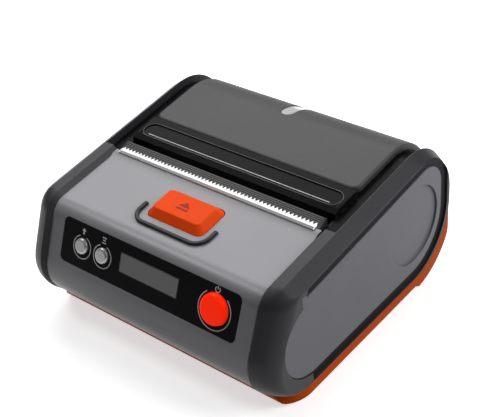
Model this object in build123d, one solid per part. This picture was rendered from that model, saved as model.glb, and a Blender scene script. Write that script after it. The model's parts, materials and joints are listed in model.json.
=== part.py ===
from build123d import *
import os
from math import acos, asin, atan2, ceil, cos, degrees, pi, radians, sin, sqrt, tan

# Portable thermal label printer. Millimetres, +Z up, front towards -Y.
# The origin is the middle of the footprint, on the surface it stands on.

# Walls and clearances
shell_wall = 2.0
thin_wall = 1.6
seat_gap = 0.1          # between fixed parts that seat on each other
open_gap = 0.4          # between the lid and what it drops into
running_gap = 0.06      # radial clearance of shafts and pins
edge_round = 0.6

# Paper bay, which sets the size of the case
bay_radius = 21.3
bay_skin = 1.4
bay_rear_gap = 0.7
bay_floor_gap = 0.2
bay_roof_room = 5.5     # from the top of the roll's room to the crown
rear_sink = 0.3         # the rear wall lies this far under the crown
foot_height = 0.8
hull_bottom = 6.4       # underside of the housing, on the rim of the base
chassis_floor = 1.8

# Case, front to rear: open button, platen roller, paper bay, rear wall
open_inset = 30.2       # from the front to the middle of the open button
open_to_platen = 26.6
platen_to_bay = 9.6
bay_depth = 2 * bay_radius + bay_skin + bay_rear_gap
case_width = 116.0
case_depth = open_inset + open_to_platen + platen_to_bay + bay_depth + thin_wall + rear_sink
floor_stack = hull_bottom + seat_gap + chassis_floor + bay_floor_gap + bay_skin
case_height = floor_stack + 2 * bay_radius + bay_roof_room
half_width = case_width / 2
half_depth = case_depth / 2
roll_z = case_height - bay_roof_room - bay_radius
open_y = open_inset - half_depth
platen_y = open_y + open_to_platen
roll_y = platen_y + platen_to_bay + bay_radius
platen_drop = 14.0      # axis of the platen under the top of the case
platen_z = case_height - platen_drop

# Side outline of the case, drawn as (y, z)
nose_radius = 17.0
face_tilt = 24.0        # the front face leans back by this, degrees
top_slope = 6.05        # the top falls to the front by this, degrees
bend_radius = 10.0
rear_over_bay = 1.2     # the upper rear arc is this much wider than the bay
tail_over_bay = 3.6     # and the lower one this much
rear_radius = bay_radius + rear_over_bay
tail_radius = bay_radius + tail_over_bay
shell_sink = 2.0        # the silver shell lies this far under the bumper crown
shell_foot_sink = 0.4   # but is nearly flush at its lower edge
shell_nose_trim = 1.1   # its nose is this much tighter
front_shell_run = 3.5   # its lower edge behind the middle of the nose

# Side plates
panel_thickness = 1.8
panel_recess = 0.5
panel_rise = 4.0        # its lower edge above the underside of the housing
panel_nose_radius = 15.5
panel_nose_inset = 24.5
panel_rear_inset = 7.5
panel_top_inset = 7.0
panel_rear_radius = 20.0
panel_head_radius = 11.0
panel_step_inset = 20.0
panel_tab_length = 2.7
panel_tab_height = 1.8
strip_width = 3.7
strip_depth = 0.9
dish_radius = 15.7
dish_depth = 0.8
dish_inset = 18.5       # middle of the dish from the rear edge of the plate
dish_rise = 20.6
panel_bottom = hull_bottom + panel_rise
panel_nose_y = panel_nose_inset - half_depth
panel_rear = half_depth - panel_rear_inset
panel_top_rear = case_height - panel_top_inset
panel_step_y = panel_step_inset - half_depth
panel_tab_end_y = panel_step_y + panel_tab_length
dish_y = panel_rear - dish_inset
dish_z = panel_bottom + dish_rise

# Side bumpers
crown_width = 8.7       # from the side to the inner edge of the crown
crown_slope_run = 4.5   # from the side to where the crown starts to slope
crown_drop_top = 3.3
crown_drop_rear = 2.1
corner_run = 11.0       # from the side to where the front corner starts to turn
corner_drop = 7.5
corner_steps = 6
bumper_skin = 3.2
bevel_width = 1.6       # between the crown and the silver shell
web_thickness = 2.4
crown_start = half_width - crown_width
shell_half = crown_start - bevel_width
shoulder = half_width - crown_slope_run
corner_start = half_width - corner_run
web_outer = half_width - panel_recess - panel_thickness - seat_gap
web_inner = web_outer - web_thickness

# Orange base
base_floor = 1.8
base_front_inset = 8.2
base_front_slope = 3.8
base_lip = 2.6          # its front rises this far round the nose
base_tip_drop = 0.3     # its upper edge under the middle of the rear
base_corner = 13.5
base_rear_corner = 3.5
base_wall = 2.2
base_front_y = base_front_inset - half_depth
base_tail_radius = tail_radius - seat_gap
base_tip_z = hull_bottom + tail_radius - base_tip_drop
foot_radius = 5.0
foot_recess = 0.6
foot_side_inset = 14.5
foot_front_inset = 26.5
foot_rear_inset = 29.5
foot_x = half_width - foot_side_inset
foot_front_y = foot_front_inset - half_depth
foot_rear_y = half_depth - foot_rear_inset
door_length = 70.0
door_width = 40.0
door_thickness = 1.0
door_ledge = 2.2

# Battery, in front of the paper bay
battery_length = 62.0
battery_width = 33.0
battery_height = 17.0
battery_gap = 0.4
bay_wall = 1.5
battery_to_platen = 16.3
battery_y = platen_y - battery_to_platen

# Chassis
chassis_wall = 1.8
side_wall_drop = 14.8   # top of its side walls under the top of the case
cross_wall_drop = 12.0
cross_wall_to_platen = 14.8
cross_wall_left_inset = 19.6
cross_wall_right_inset = 4.6
chute_drop = 6.8        # paper chute under the platen's axis
chute_to_platen = 3.5
rack_wall_drop = 4.0
rack_wall_to_platen = 2.1
switch_to_platen = 15.7
switch_case = 2.2
chassis_half = shell_half - seat_gap
chassis_top_z = case_height - side_wall_drop
cross_wall_y = platen_y - cross_wall_to_platen
cross_wall_top = case_height - cross_wall_drop
cross_wall_left = cross_wall_left_inset - chassis_half
cross_wall_right = chassis_half - cross_wall_right_inset
chute_z = platen_z - chute_drop
chute_front_y = platen_y - chute_to_platen
rack_wall_y = platen_y + rack_wall_to_platen
rack_wall_top = chute_z - rack_wall_drop
cover_switch_y = platen_y + switch_to_platen
sensor_x = 12.0
sensor_to_platen = 0.7
sensor_half = 4.0
sensor_height = 2.6
sensor_y = platen_y + sensor_to_platen

# Hinge of the lid
hinge_inset = 4.5
hinge_drop = 17.0
hinge_pin_radius = 1.5
barrel_radius = 3.4
sweep_room = 1.6        # under the barrel, for the lid to swing
hinge_y = half_depth - hinge_inset
hinge_z = case_height - hinge_drop

# Lid
cheek_width = 6.0
cheek_skin = 1.8
cheek_outer_skin = 1.0
cover_thickness = 2.2
cover_corner = 3.5
channel_sink = 3.0
channel_skin = 1.2
lid_corner_run = 5.2
lid_corner_drop = 4.0
lid_front_to_platen = 11.1
lip_to_platen = 3.1
lip_sink = 0.3
lip_fold = 2.2
lip_fold_drop = 0.8
lip_panel_inset = 1.5
lip_panel_rear_gap = 2.9
lip_panel_radius = 4.0
lip_panel_depth = 0.35
barrel_end_gap = 1.6
lid_rear_drop = 13.2
window_x = -2.0
window_width = 5.6
window_start_inset = 22.5
window_thickness = 1.4
window_sink = 0.3
lid_half = web_inner - open_gap
cover_half = shell_half - open_gap
cheek_inner = lid_half - cheek_width
barrel_half = cheek_inner - barrel_end_gap
lid_corner_start = lid_half - lid_corner_run
lip_half = cover_half
lip_panel_half = lip_half - lip_panel_inset
lid_front_y = platen_y - lid_front_to_platen
lid_split_z = platen_z
lid_rear_z = case_height - lid_rear_drop
cover_front_y = platen_y + platen_to_bay
lip_front_y = platen_y - lip_to_platen
lip_fold_y = lip_front_y + lip_fold
lip_panel_rear_y = cover_front_y - lip_panel_rear_gap
window_start_y = half_depth - window_start_inset

# Platen roller and its drive
platen_radius = 5.0
platen_end_gap = 5.3    # between the rubber and the lid's cheek
shaft_radius = 2.0
bushing_radius = 3.0
bushing_flange = 0.8
gear_module = 0.6
gear_pressure = 25.0
gear_addendum = 0.8
gear_dedendum = 1.05
gear_backlash = 0.10
gear_width = 2.3
gear_side_gap = 0.5     # between the lid's cheek and the gears
platen_teeth = 16
idler_teeth = 28
pinion_teeth = 12
idler_angle = -120.0
pinion_angle = -170.0
idler_post_radius = 2.0
motor_radius = 8.0
motor_length = 15.0
motor_shaft_radius = 1.0
platen_half = cheek_inner - platen_end_gap
gear_side = cheek_inner + cheek_skin + gear_side_gap

# Print head
head_gap = 0.05
head_overhang = 0.5     # past each end of the rubber
ceramic_thickness = 1.0
ceramic_drop = 8.0      # its lower edge under the platen's axis
head_rise = 5.2
heatsink_thickness = 3.5
head_pivot_drop = 13.0
head_pivot_radius = 1.0
head_spring_radius = 1.6
head_spring_x = 16.0
head_spring_drop = 0.5
ribbon_width = 20.0
ribbon_thickness = 0.3
ribbon_tail = 5.0       # behind the cross wall
ribbon_overlap = 4.0    # on the back of the head, over its pivot
head_half = platen_half + head_overhang
ceramic_bottom = platen_z - ceramic_drop
head_top = platen_z + head_rise
head_pivot_z = platen_z - head_pivot_drop
head_spring_z = platen_z - head_spring_drop

# Tear blade and its holder
blade_to_platen = 9.8   # tips of its teeth in front of the platen's axis
blade_depth = 3.5
blade_end_inset = 2.3
blade_thickness = 0.5
blade_sink = 0.55       # top of the blade under the crown
blade_tooth_pitch = 1.65
blade_tooth_height = 1.4
holder_end_inset = 1.3
holder_rear_gap = 6.5   # in front of the platen's axis
holder_depth = 5.1
holder_bottom_drop = 8.0
holder_web = 0.9        # upright part that stands on the cross wall
land_depth = 2.5
land_front_run = 2.0
blade_half = shell_half - blade_end_inset
blade_tip_y = platen_y - blade_to_platen
blade_front_y = blade_tip_y - blade_depth
holder_half = shell_half - holder_end_inset
holder_rear_y = platen_y - holder_rear_gap
holder_front_y = holder_rear_y - holder_depth
holder_bottom = case_height - holder_bottom_drop
land_front_y = blade_front_y - land_depth

# Open button and latch
open_length = 25.4
open_width = 14.6
open_top_length = 21.4
open_top_width = 10.5
open_travel = 1.5
open_crest = 1.5        # still proud of the shell when pressed
open_flange = 1.2
open_corner = 2.5
ridge_half = 16.2
ridge_front = 11.4
ridge_back = 2.6
ridge_width = 1.5
ridge_height = 1.1
ridge_radius = 6.0
latch_to_platen = 17.8
latch_drop = 2.5        # its pin under the platen's axis
latch_pin_radius = 1.0
latch_hub_radius = 2.4
latch_arm_gap = 1.9     # between the head and each arm
latch_arm_width = 1.4
latch_tab_offset = 2.6
latch_tab_thickness = 1.4
latch_neck = 2.5        # the arm rises this much behind the hook
hook_gap = 0.25
hook_depth = 1.5
hook_throat = 0.6
hook_tip = 2.3
hook_height = 3.2
latch_y = platen_y - latch_to_platen
latch_z = platen_z - latch_drop
latch_arm_x = head_half + latch_arm_gap
latch_tab_y = open_y - latch_tab_offset

# Control panel, on the front face
panel_offset = 0.2      # overlay above the end of the nose curve
overlay_side_inset = 6.4
overlay_height = 17.0
overlay_radius = 2.2
overlay_thickness = 0.7
overlay_recess = 0.9
lcd_v = 0.8
lcd_height = 7.4
feed_inset = 10.0       # from the left end of the overlay
key_pitch = 10.2
key_v = 0.0
key_radius = 3.0
key_proud = 1.0
power_inset = 10.3
power_v = 0.1
power_radius = 5.6
power_proud = 1.7
key_travel = 0.8
key_flange = 1.0
key_fit = 0.15
board_thickness = 1.6
panel_board_depth = 10.2
switch_size = 6.0
switch_height = 3.4
board_boss_inset = 1.3
board_margin = 2.0
key_to_lcd = 8.4        # from the middle of the config button
lcd_to_power = 16.5
overlay_width = 2 * (shell_half - overlay_side_inset)
feed_x = feed_inset - overlay_width / 2
config_x = feed_x + key_pitch
power_x = overlay_width / 2 - power_inset
lcd_left = config_x + key_to_lcd
lcd_right = power_x - lcd_to_power
lcd_width = lcd_right - lcd_left
lcd_x = (lcd_left + lcd_right) / 2
board_boss_x = overlay_width / 2 - board_boss_inset

# Screws up through the base
screw_radius = 1.2
screw_head_radius = 2.3
screw_head_height = 1.4
screw_boss = 3.0
screw_depth = 9.0
screw_web_gap = 2.4     # from the inner face of the bumper's web
screw_front_inset = 28.5
screw_rear_inset = 31.5
chassis_screw_inset = 7.6
screw_x = web_inner - screw_web_gap
screw_front_y = screw_front_inset - half_depth
screw_rear_y = half_depth - screw_rear_inset
chassis_screw_x = chassis_half - chassis_screw_inset

# Main board and socket
board_rise = 2.2        # above the roof of the battery bay
board_post_inset = 5.0
board_post_to_wall = 5.5
board_chips = [         # x, distance from the front edge, length, width, height
    (-12.0, 12.94, 10.0, 10.0, 1.2),
    (8.0, 13.94, 7.0, 7.0, 1.0),
    (26.0, 10.94, 12.0, 6.0, 2.2),
    (-30.0, 7.94, 6.0, 5.0, 2.0),
]
connector_height = 1.6
connector_depth = 3.0
socket_inset = 24.5
usb_width = 8.94
usb_height = 3.2
usb_skin = 0.35
usb_depth = 7.7
usb_recess = 1.1        # its mouth inside the side face
board_post_y = cross_wall_y - board_post_to_wall
usb_y = socket_inset - half_depth
usb_out = half_width - usb_recess
battery_top = foot_height + door_thickness + seat_gap + battery_height
main_board_z = battery_top + battery_gap + bay_wall + board_rise
ribbon_z = main_board_z + board_thickness + connector_height

# Paper guides
guide_end_gap = 0.5     # inner face of each guide inside the end of the rubber
guide_thickness = 2.0
guide_radius = 15.0
guide_travel = 25.0
hub_radius = 6.0
hub_length = 4.0
hub_pin_radius = 2.0
rack_module = 0.8
rack_teeth = 12
rack_wall_gap = 0.3
rack_width = 2.8
rack_drop = 6.7         # axis of the pinion under the middle of the roll
rack_back = 2.2
rack_reach = 7.0
rack_post_radius = 1.5
guide_face = platen_half - guide_end_gap
rack_y = rack_wall_y + bay_wall + rack_wall_gap
rack_axis_z = roll_z - rack_drop

parts_folder = "parts"


def polar(centre, radius, angle):
    return (centre[0] + radius * cos(radians(angle)), centre[1] + radius * sin(radians(angle)))


def arc(centre, radius, start, end):
    middle = (start + end) / 2
    return ThreePointArc(
        polar(centre, radius, start), polar(centre, radius, middle), polar(centre, radius, end)
    )


def outline_points(front, top, rear, bottom, nose_trim=0):
    # Named points and circles of the side outline, moved in by the four insets.
    nose_r = nose_radius - (front + bottom) / 2 - nose_trim
    nose = (-half_depth + front + nose_r, hull_bottom + bottom + nose_r)
    rear_r = rear_radius - (top + rear) / 2
    upper = (half_depth - rear - rear_r, case_height - top - rear_r)
    tail_r = tail_radius - (rear + bottom) / 2
    lower = (half_depth - rear - tail_r, hull_bottom + bottom + tail_r)
    start = polar(nose, nose_r, 180 - face_tilt)
    finish = polar(upper, rear_r, 90 + top_slope)
    rise = (sin(radians(face_tilt)), cos(radians(face_tilt)))
    run = (cos(radians(top_slope)), sin(radians(top_slope)))
    # Corner where the front face would meet the top
    cross = rise[0] * run[1] - rise[1] * run[0]
    gap = (finish[0] - start[0], finish[1] - start[1])
    reach = (gap[0] * run[1] - gap[1] * run[0]) / cross
    corner = (start[0] + reach * rise[0], start[1] + reach * rise[1])
    bend_r = bend_radius - (front + top) / 2
    setback = bend_r * tan(radians(90 - face_tilt - top_slope) / 2)
    bend_low = (corner[0] - setback * rise[0], corner[1] - setback * rise[1])
    bend = (
        bend_low[0] + bend_r * cos(radians(face_tilt)),
        bend_low[1] - bend_r * sin(radians(face_tilt)),
    )
    return nose, nose_r, bend, bend_r, upper, rear_r, lower, tail_r


def outline(front, top, rear, bottom, nose_trim=0):
    # Closed side outline of the housing as a face in (y, z).
    points = outline_points(front, top, rear, bottom, nose_trim)
    nose, nose_r, bend, bend_r, upper, rear_r, lower, tail_r = points
    face_angle = 180 - face_tilt
    top_angle = 90 + top_slope
    edges = [
        Line(polar(lower, tail_r, -90), polar(nose, nose_r, -90)),
        arc(nose, nose_r, 270, face_angle),
        Line(polar(nose, nose_r, face_angle), polar(bend, bend_r, face_angle)),
        arc(bend, bend_r, face_angle, top_angle),
        Line(polar(bend, bend_r, top_angle), polar(upper, rear_r, top_angle)),
        arc(upper, rear_r, top_angle, 0),
        Line(polar(upper, rear_r, 0), polar(lower, tail_r, 0)),
        arc(lower, tail_r, 0, -90),
    ]
    return Face(Wire(edges))


def even_outline(inset):
    return outline(inset, inset, inset, inset)


def shell_outline(inset, foot_sink):
    # Outline of the silver shell: sunk along its face and top, rising to its lower edge.
    tilt = radians(face_tilt)
    lean = 1 - cos(tilt) + sin(tilt)
    reach = shell_sink + foot_sink * (sin(tilt) - lean / 2) - shell_nose_trim * lean
    front = reach / (cos(tilt) + lean / 2)
    sink = shell_sink + inset
    return outline(front + inset, sink, sink, foot_sink + inset, shell_nose_trim)


def crown_z(y):
    # Height of the bumper crown over the flat part of the top.
    upper, rear_r = outline_points(0, 0, 0, 0)[4:6]
    touch = polar(upper, rear_r, 90 + top_slope)
    return touch[1] + (y - touch[0]) * tan(radians(top_slope))


def at_x(x, face):
    return Plane.YZ.offset(x) * face


def across(face, x_from, x_to):
    # Solid between two x values from a shape drawn as (y, z).
    return extrude(at_x(x_from, face), x_to - x_from, dir=(1, 0, 0))


def both_sides(face, x_from, x_to):
    right = across(face, x_from, x_to)
    return right + mirror(right, about=Plane.YZ)


def window_yz(y_from, y_to, z_from, z_to):
    return Pos((y_from + y_to) / 2, (z_from + z_to) / 2) * Rectangle(y_to - y_from, z_to - z_from)


def block(x_from, x_to, y_from, y_to, z_from, z_to):
    middle = Pos((x_from + x_to) / 2, (y_from + y_to) / 2, (z_from + z_to) / 2)
    return middle * Box(x_to - x_from, y_to - y_from, z_to - z_from)


def along_y(face, y_from, y_to):
    # Solid between two y values from a shape drawn as (x, z).
    return extrude(Plane.XZ.offset(-y_from) * face, y_to - y_from, dir=(0, 1, 0))


def rod(y, z, radius, x_from, x_to):
    # Round bar along X.
    return across(Pos(y, z) * Circle(radius), x_from, x_to)


def ring(y, z, radius, bore, x_from, x_to):
    return across(Pos(y, z) * Circle(radius) - Pos(y, z) * Circle(bore), x_from, x_to)


def left_of(part):
    return mirror(part, about=Plane.YZ)


def save(name, part):
    export_step(part, os.path.join(parts_folder, name + ".step"))


# Housing side: from the crown out to the side face


def side_insets(x):
    span = half_width - corner_start
    swing = min((x - corner_start) / span, 1)
    first = (crown_start - corner_start) / span
    front = corner_drop * (sqrt(1 - first * first) - sqrt(1 - swing * swing))
    slope = min(max((x - shoulder) / (half_width - shoulder), 0), 1)
    return front, slope * crown_drop_top, slope * crown_drop_rear


def corner_stations():
    # x values through the corner, closer together where it turns faster.
    span = half_width - corner_start
    first = degrees(asin((shoulder - corner_start) / span))
    turn = [first + (90 - first) * step / corner_steps for step in range(corner_steps + 1)]
    return [corner_start + span * sin(radians(angle)) for angle in turn]


def side_solid(grow):
    # Outer form of the right bumper, from its inner bevel to its side face.
    faces = [at_x(shell_half + seat_gap, shell_outline(-grow, 0))]
    middle = (crown_start + shoulder) / 2
    for x in [crown_start, middle] + corner_stations():
        front, top, rear = side_insets(x)
        reach = grow * (x - crown_start) / (half_width - crown_start)
        faces.append(at_x(x + reach, outline(front - grow, top - grow, rear - grow, -grow)))
    return loft(faces, ruled=True)


def side_panel_outline(grow=0.0):
    # Outline of the inset side plate in (y, z), grown by an even margin.
    head_r = panel_head_radius + grow
    head = (panel_rear - panel_head_radius, panel_top_rear - panel_head_radius)
    top_end = polar(head, head_r, 90 + top_slope)
    step_y = panel_step_y - grow
    high_z = top_end[1] + (step_y - top_end[0]) * tan(radians(top_slope))
    rear_r = panel_rear_radius + grow
    tail = (panel_rear - panel_rear_radius, panel_bottom + panel_rear_radius)
    # The round nose stays under the top edge of the plate
    plain_nose = min(panel_nose_radius, (high_z - grow - panel_bottom - edge_round) / 2)
    nose = (panel_nose_y, panel_bottom + plain_nose)
    nose_r = plain_nose + grow
    low_z = nose[1] + sqrt(nose_r**2 - (step_y - nose[0]) ** 2)
    nose_top = degrees(atan2(low_z - nose[1], step_y - nose[0]))
    edges = [
        Line(polar(tail, rear_r, -90), polar(nose, nose_r, -90)),
        arc(nose, nose_r, 270, nose_top),
        Line((step_y, low_z), (step_y, high_z)),
        Line((step_y, high_z), top_end),
        arc(head, head_r, 90 + top_slope, 0),
        Line(polar(head, head_r, 0), polar(tail, rear_r, 0)),
        arc(tail, rear_r, 0, -90),
    ]
    return Face(Wire(edges))


def panel_tab(grow=0.0):
    # Small tab that stands up at the front end of the plate's top edge.
    head_r = panel_head_radius
    head = (panel_rear - head_r, panel_top_rear - head_r)
    top_end = polar(head, head_r, 90 + top_slope)
    middle_y = (panel_step_y + panel_tab_end_y) / 2
    top_z = top_end[1] + (middle_y - top_end[0]) * tan(radians(top_slope))
    return window_yz(
        panel_step_y - grow, panel_tab_end_y + grow, top_z - panel_tab_height, top_z + panel_tab_height + grow
    )


def make_bumper():
    body = side_solid(0)
    skin = bumper_skin
    cavity = outline(skin, skin, skin, shell_wall)
    body -= across(cavity, shell_half - 1, web_inner)
    # Room for the lid
    bay = window_yz(lid_front_y - open_gap, half_depth + 1, rear_edge_z() + seat_gap, case_height + 1)
    body -= across(bay, shell_half - 1, web_inner)
    # Pocket for the side plate and the sunk strip round it
    body -= across(side_panel_outline(seat_gap), web_outer, half_width + 1)
    body -= across(panel_tab(seat_gap), web_outer, half_width + 1)
    strip = side_panel_outline(strip_width) & window_yz(panel_tab_end_y, half_depth, 0, case_height)
    body -= across(strip, half_width - strip_depth, half_width + 1)
    # Bosses that take the screws up through the base
    for y in (screw_front_y, screw_rear_y):
        boss = Pos(screw_x, y, hull_bottom) * Cylinder(
            screw_boss, screw_depth, align=(Align.CENTER, Align.CENTER, Align.MIN)
        )
        body += boss & across(even_outline(0), crown_start, web_inner + 1)
        body -= Pos(screw_x, y, hull_bottom - 1) * Cylinder(
            screw_radius + seat_gap, screw_depth, align=(Align.CENTER, Align.CENTER, Align.MIN)
        )
    return body


def make_side_panel():
    outer = half_width - panel_recess
    plate = across(side_panel_outline(), outer - panel_thickness, outer)
    plate += across(panel_tab(), outer - panel_thickness, outer)
    return plate - rod(dish_y, dish_z, dish_radius, outer - dish_depth, outer + 1)


def rear_edge_z():
    # Top of the fixed rear wall: it stays under the sweep of the lid's barrel.
    return hinge_z - barrel_radius - sweep_room


# Base, feet and battery door


def base_profile():
    tail = (half_depth - base_tail_radius, foot_height + base_tail_radius)
    tip_angle = degrees(asin((base_tip_z - tail[1]) / base_tail_radius))
    tip = polar(tail, base_tail_radius, tip_angle)
    edges = [
        Line((tail[0], foot_height), (base_front_y + base_front_slope, foot_height)),
        Line((base_front_y + base_front_slope, foot_height), (base_front_y, hull_bottom + base_lip)),
        Line((base_front_y, hull_bottom + base_lip), (tail[0], hull_bottom + base_lip)),
        Line((tail[0], hull_bottom + base_lip), (tail[0], base_tip_z)),
        Line((tail[0], base_tip_z), tip),
        arc(tail, base_tail_radius, tip_angle, -90),
    ]
    return Face(Wire(edges))


def base_plan():
    # Plan of the base, with its front corners rounder than the rear ones.
    middle = (base_front_y + half_depth) / 2
    plan = Pos(0, middle) * Rectangle(case_width, half_depth - base_front_y)
    rows = plan.vertices().group_by(Axis.Y)
    plan = fillet(rows[0], base_corner)
    return fillet(plan.vertices().group_by(Axis.Y)[-1], base_rear_corner)


def bumper_screws():
    return [(x, y) for x in (-screw_x, screw_x) for y in (screw_front_y, screw_rear_y)]


def chassis_screws():
    return [(-chassis_screw_x, battery_y), (chassis_screw_x, battery_y)]


def screw_places():
    return bumper_screws() + chassis_screws()


def foot_places():
    return [(x, y) for x in (-foot_x, foot_x) for y in (foot_front_y, foot_rear_y)]


def upright(x, y, z, radius, height):
    return Pos(x, y, z) * Cylinder(radius, height, align=(Align.CENTER, Align.CENTER, Align.MIN))


def hull_form(grow):
    # Outer form of the whole housing, both bumpers and the middle.
    right = side_solid(grow)
    middle = across(outline(-grow, -grow, -grow, -grow), -crown_start, crown_start)
    return middle + right + left_of(right)


def door_plate(grow, z_from, z_to):
    length = door_length + 2 * grow
    width = door_width + 2 * grow
    return block(
        -length / 2, length / 2, battery_y - width / 2, battery_y + width / 2, z_from, z_to
    )


def make_base():
    body = across(base_profile(), -half_width, half_width)
    body &= extrude(base_plan(), case_height)
    body -= hull_form(seat_gap)
    floor_top = foot_height + base_floor
    tail_y = half_depth - base_tail_radius
    front = base_front_y + base_front_slope + base_wall
    inner = half_width - base_wall
    body -= block(-inner, inner, front, tail_y, floor_top, case_height)
    for x, y in screw_places():
        body += upright(x, y, floor_top - seat_gap, screw_boss, hull_bottom - floor_top)
    for x, y in screw_places():
        body -= upright(x, y, 0, screw_radius + seat_gap, case_height)
        body -= upright(x, y, 0, screw_head_radius + seat_gap, foot_height + screw_head_height)
    for x, y in foot_places():
        body -= upright(x, y, 0, foot_radius + seat_gap, foot_height + foot_recess)
    # Frame round the battery opening, which the chassis stands on
    frame = door_plate(base_wall, floor_top - seat_gap, hull_bottom)
    body += frame - door_plate(0, 0, case_height)
    body -= door_plate(seat_gap, 0, foot_height + door_thickness + seat_gap)
    body -= door_plate(-door_ledge, 0, floor_top + 1)
    return body


def make_feet():
    pads = []
    for x, y in foot_places():
        pad = upright(x, y, 0, foot_radius, foot_height + foot_recess - seat_gap)
        pads.append(chamfer(pad.faces().sort_by(Axis.Z)[0].edges(), foot_height / 2).solid())
    return Compound(pads)


def make_door():
    door = door_plate(0, foot_height, foot_height + door_thickness)
    # Shallow finger slots near one edge
    edge = battery_y - door_width / 2 + door_ledge
    for step in range(3):
        y = edge + step * 2 * door_ledge
        door -= block(-foot_radius, foot_radius, y, y + door_ledge / 2, 0, foot_height + door_thickness / 2)
    return door


def battery_floor_z():
    return foot_height + door_thickness + seat_gap


def make_battery():
    z = battery_floor_z()
    half = battery_length / 2
    pack = block(
        -half, half, battery_y - battery_width / 2, battery_y + battery_width / 2, z, z + battery_height
    )
    return fillet(pack.edges().filter_by(Axis.X), edge_round * 3)


def make_screws():
    screws = []
    for x, y in screw_places():
        head_z = foot_height + screw_head_height - seat_gap
        head = upright(x, y, head_z - screw_head_height / 2, screw_head_radius, screw_head_height / 2)
        shank = upright(x, y, head_z, screw_radius, hull_bottom + screw_depth / 2 - head_z)
        socket = upright(x, y, 0, screw_head_radius / 2, head_z - screw_head_height / 4)
        screws.append((head + shank - socket).solid())
    return Compound(screws)


# Chassis, paper well and rear wall


def bay_roof_z():
    return battery_floor_z() + battery_height + battery_gap + bay_wall


def chassis_floor_z():
    return hull_bottom + seat_gap


def main_board_top():
    return main_board_z + board_thickness


def usb_z():
    return main_board_top() + usb_height / 2


def gear_centre(centre, teeth_a, teeth_b, angle):
    distance = gear_module * (teeth_a + teeth_b) / 2
    return polar(centre, distance, angle)


def idler_centre():
    return gear_centre((platen_y, platen_z), platen_teeth, idler_teeth, idler_angle)


def motor_centre():
    return gear_centre(idler_centre(), idler_teeth, pinion_teeth, pinion_angle)


def rack_pitch_radius():
    return rack_module * rack_teeth / 2


def rack_body(side):
    # Lowest and highest z of the rack above (+1) or below (-1) the pinion.
    near = rack_axis_z + side * (rack_pitch_radius() + gear_dedendum * rack_module)
    far = near + side * rack_back
    return min(near, far), max(near, far)


def front_shell_end():
    return -half_depth + nose_radius + front_shell_run


def holder_gap_y():
    return holder_front_y - seat_gap


def side_wall_face():
    inset = 2 * shell_wall + seat_gap
    top = chassis_top_z
    face = even_outline(inset) & window_yz(-half_depth, half_depth, hull_bottom, top)
    face += window_yz(front_shell_end() + seat_gap, roll_y, chassis_floor_z(), panel_bottom + shell_wall)
    rear = even_outline(rear_sink + thin_wall + seat_gap)
    face += rear & window_yz(roll_y, half_depth, 0, rear_edge_z())
    ear = Pos(hinge_y, hinge_z) * Circle(barrel_radius + open_gap)
    ear += window_yz(roll_y, hinge_y, rear_edge_z() - shell_wall, hinge_z)
    return face + (ear & even_outline(shell_wall))


def make_side_frame(side):
    # Side wall that carries the ends of the hinge, latch and head pins.
    inner = chassis_half - chassis_wall
    wall = across(side_wall_face(), inner, chassis_half)
    if side < 0:
        # The left wall also holds the motor and the idler, and lets the socket out
        wall = left_of(wall)
        y, z = idler_centre()
        wall += rod(y, z, idler_post_radius, -gear_side - gear_width - open_gap, -inner)
        y, z = motor_centre()
        wall -= rod(y, z, motor_shaft_radius * 2, -chassis_half - 1, -inner + 1)
        usb_half = usb_width / 2 + shell_wall
        wall -= block(
            -half_width, -inner + 1, usb_y - usb_half, usb_y + usb_half, main_board_z - seat_gap,
            main_board_top() + usb_height + open_gap
        )
    wall -= rod(head_pivot_y(), head_pivot_z, head_pivot_radius + seat_gap, -chassis_half, chassis_half)
    wall -= rod(latch_y, latch_z, latch_pin_radius + seat_gap, -half_width, half_width)
    wall -= rod(hinge_y, hinge_z, hinge_pin_radius + seat_gap, -half_width, half_width)
    # Notch that clears the platen bearing
    arm = bushing_radius + cheek_skin + open_gap
    notch = window_yz(platen_y - arm, platen_y + arm, platen_z - arm, case_height)
    return wall - across(notch, -half_width, half_width)


def make_chassis():
    inner = chassis_half - chassis_wall
    floor_z = chassis_floor_z()
    floor_top = floor_z + chassis_floor
    roof = bay_roof_z()
    body = block(-inner, inner, front_shell_end() + seat_gap, roll_y, floor_z, floor_top)
    # Battery bay
    half = battery_length / 2 + battery_gap
    front = battery_y - battery_width / 2 - battery_gap
    rear = battery_y + battery_width / 2 + battery_gap
    body += block(
        -half - bay_wall, half + bay_wall, front - bay_wall, rear + bay_wall, floor_z, roof
    )
    body -= block(-half, half, front, rear, 0, roof - bay_wall)
    # Cross walls that carry the print head and the paper guides
    body += block(
        cross_wall_left, cross_wall_right, cross_wall_y, cross_wall_y + bay_wall,
        roof - bay_wall, cross_wall_top
    )
    wall_y = rack_wall_y
    body += block(-inner, inner, wall_y, wall_y + bay_wall, floor_z, rack_wall_top)
    rail_end = rack_y + rack_width
    low, high = rack_body(-1)[0] - open_gap, rack_body(1)[1] + open_gap
    body += block(-inner, inner, wall_y, rail_end, low - bay_wall, low)
    body += block(-inner, inner, wall_y, rail_end, high, high + bay_wall)
    body += along_y(Pos(0, rack_axis_z) * Circle(rack_post_radius), wall_y, rail_end + open_gap)
    body -= rod(roll_y, roll_z, bay_radius + bay_skin + seat_gap, -inner, inner)
    # Bosses for the screws up through the base
    for x, y in chassis_screws():
        body += upright(x, y, floor_z, screw_boss, screw_depth)
        body -= upright(x, y, 0, screw_radius + seat_gap, screw_depth + floor_z - chassis_floor)
    # Standoffs of the main board
    for x in (cross_wall_left + board_post_inset, battery_length / 2 - board_post_inset):
        body += upright(x, board_post_y, roof - seat_gap, 2 * screw_radius, main_board_z - roof)
    # Slot for the head ribbon
    half = ribbon_width / 2 + open_gap
    body -= block(
        -half, half, cross_wall_y - 1, cross_wall_y + bay_wall + 1,
        ribbon_z - open_gap, ribbon_z + ribbon_thickness + open_gap
    )
    return body


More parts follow.
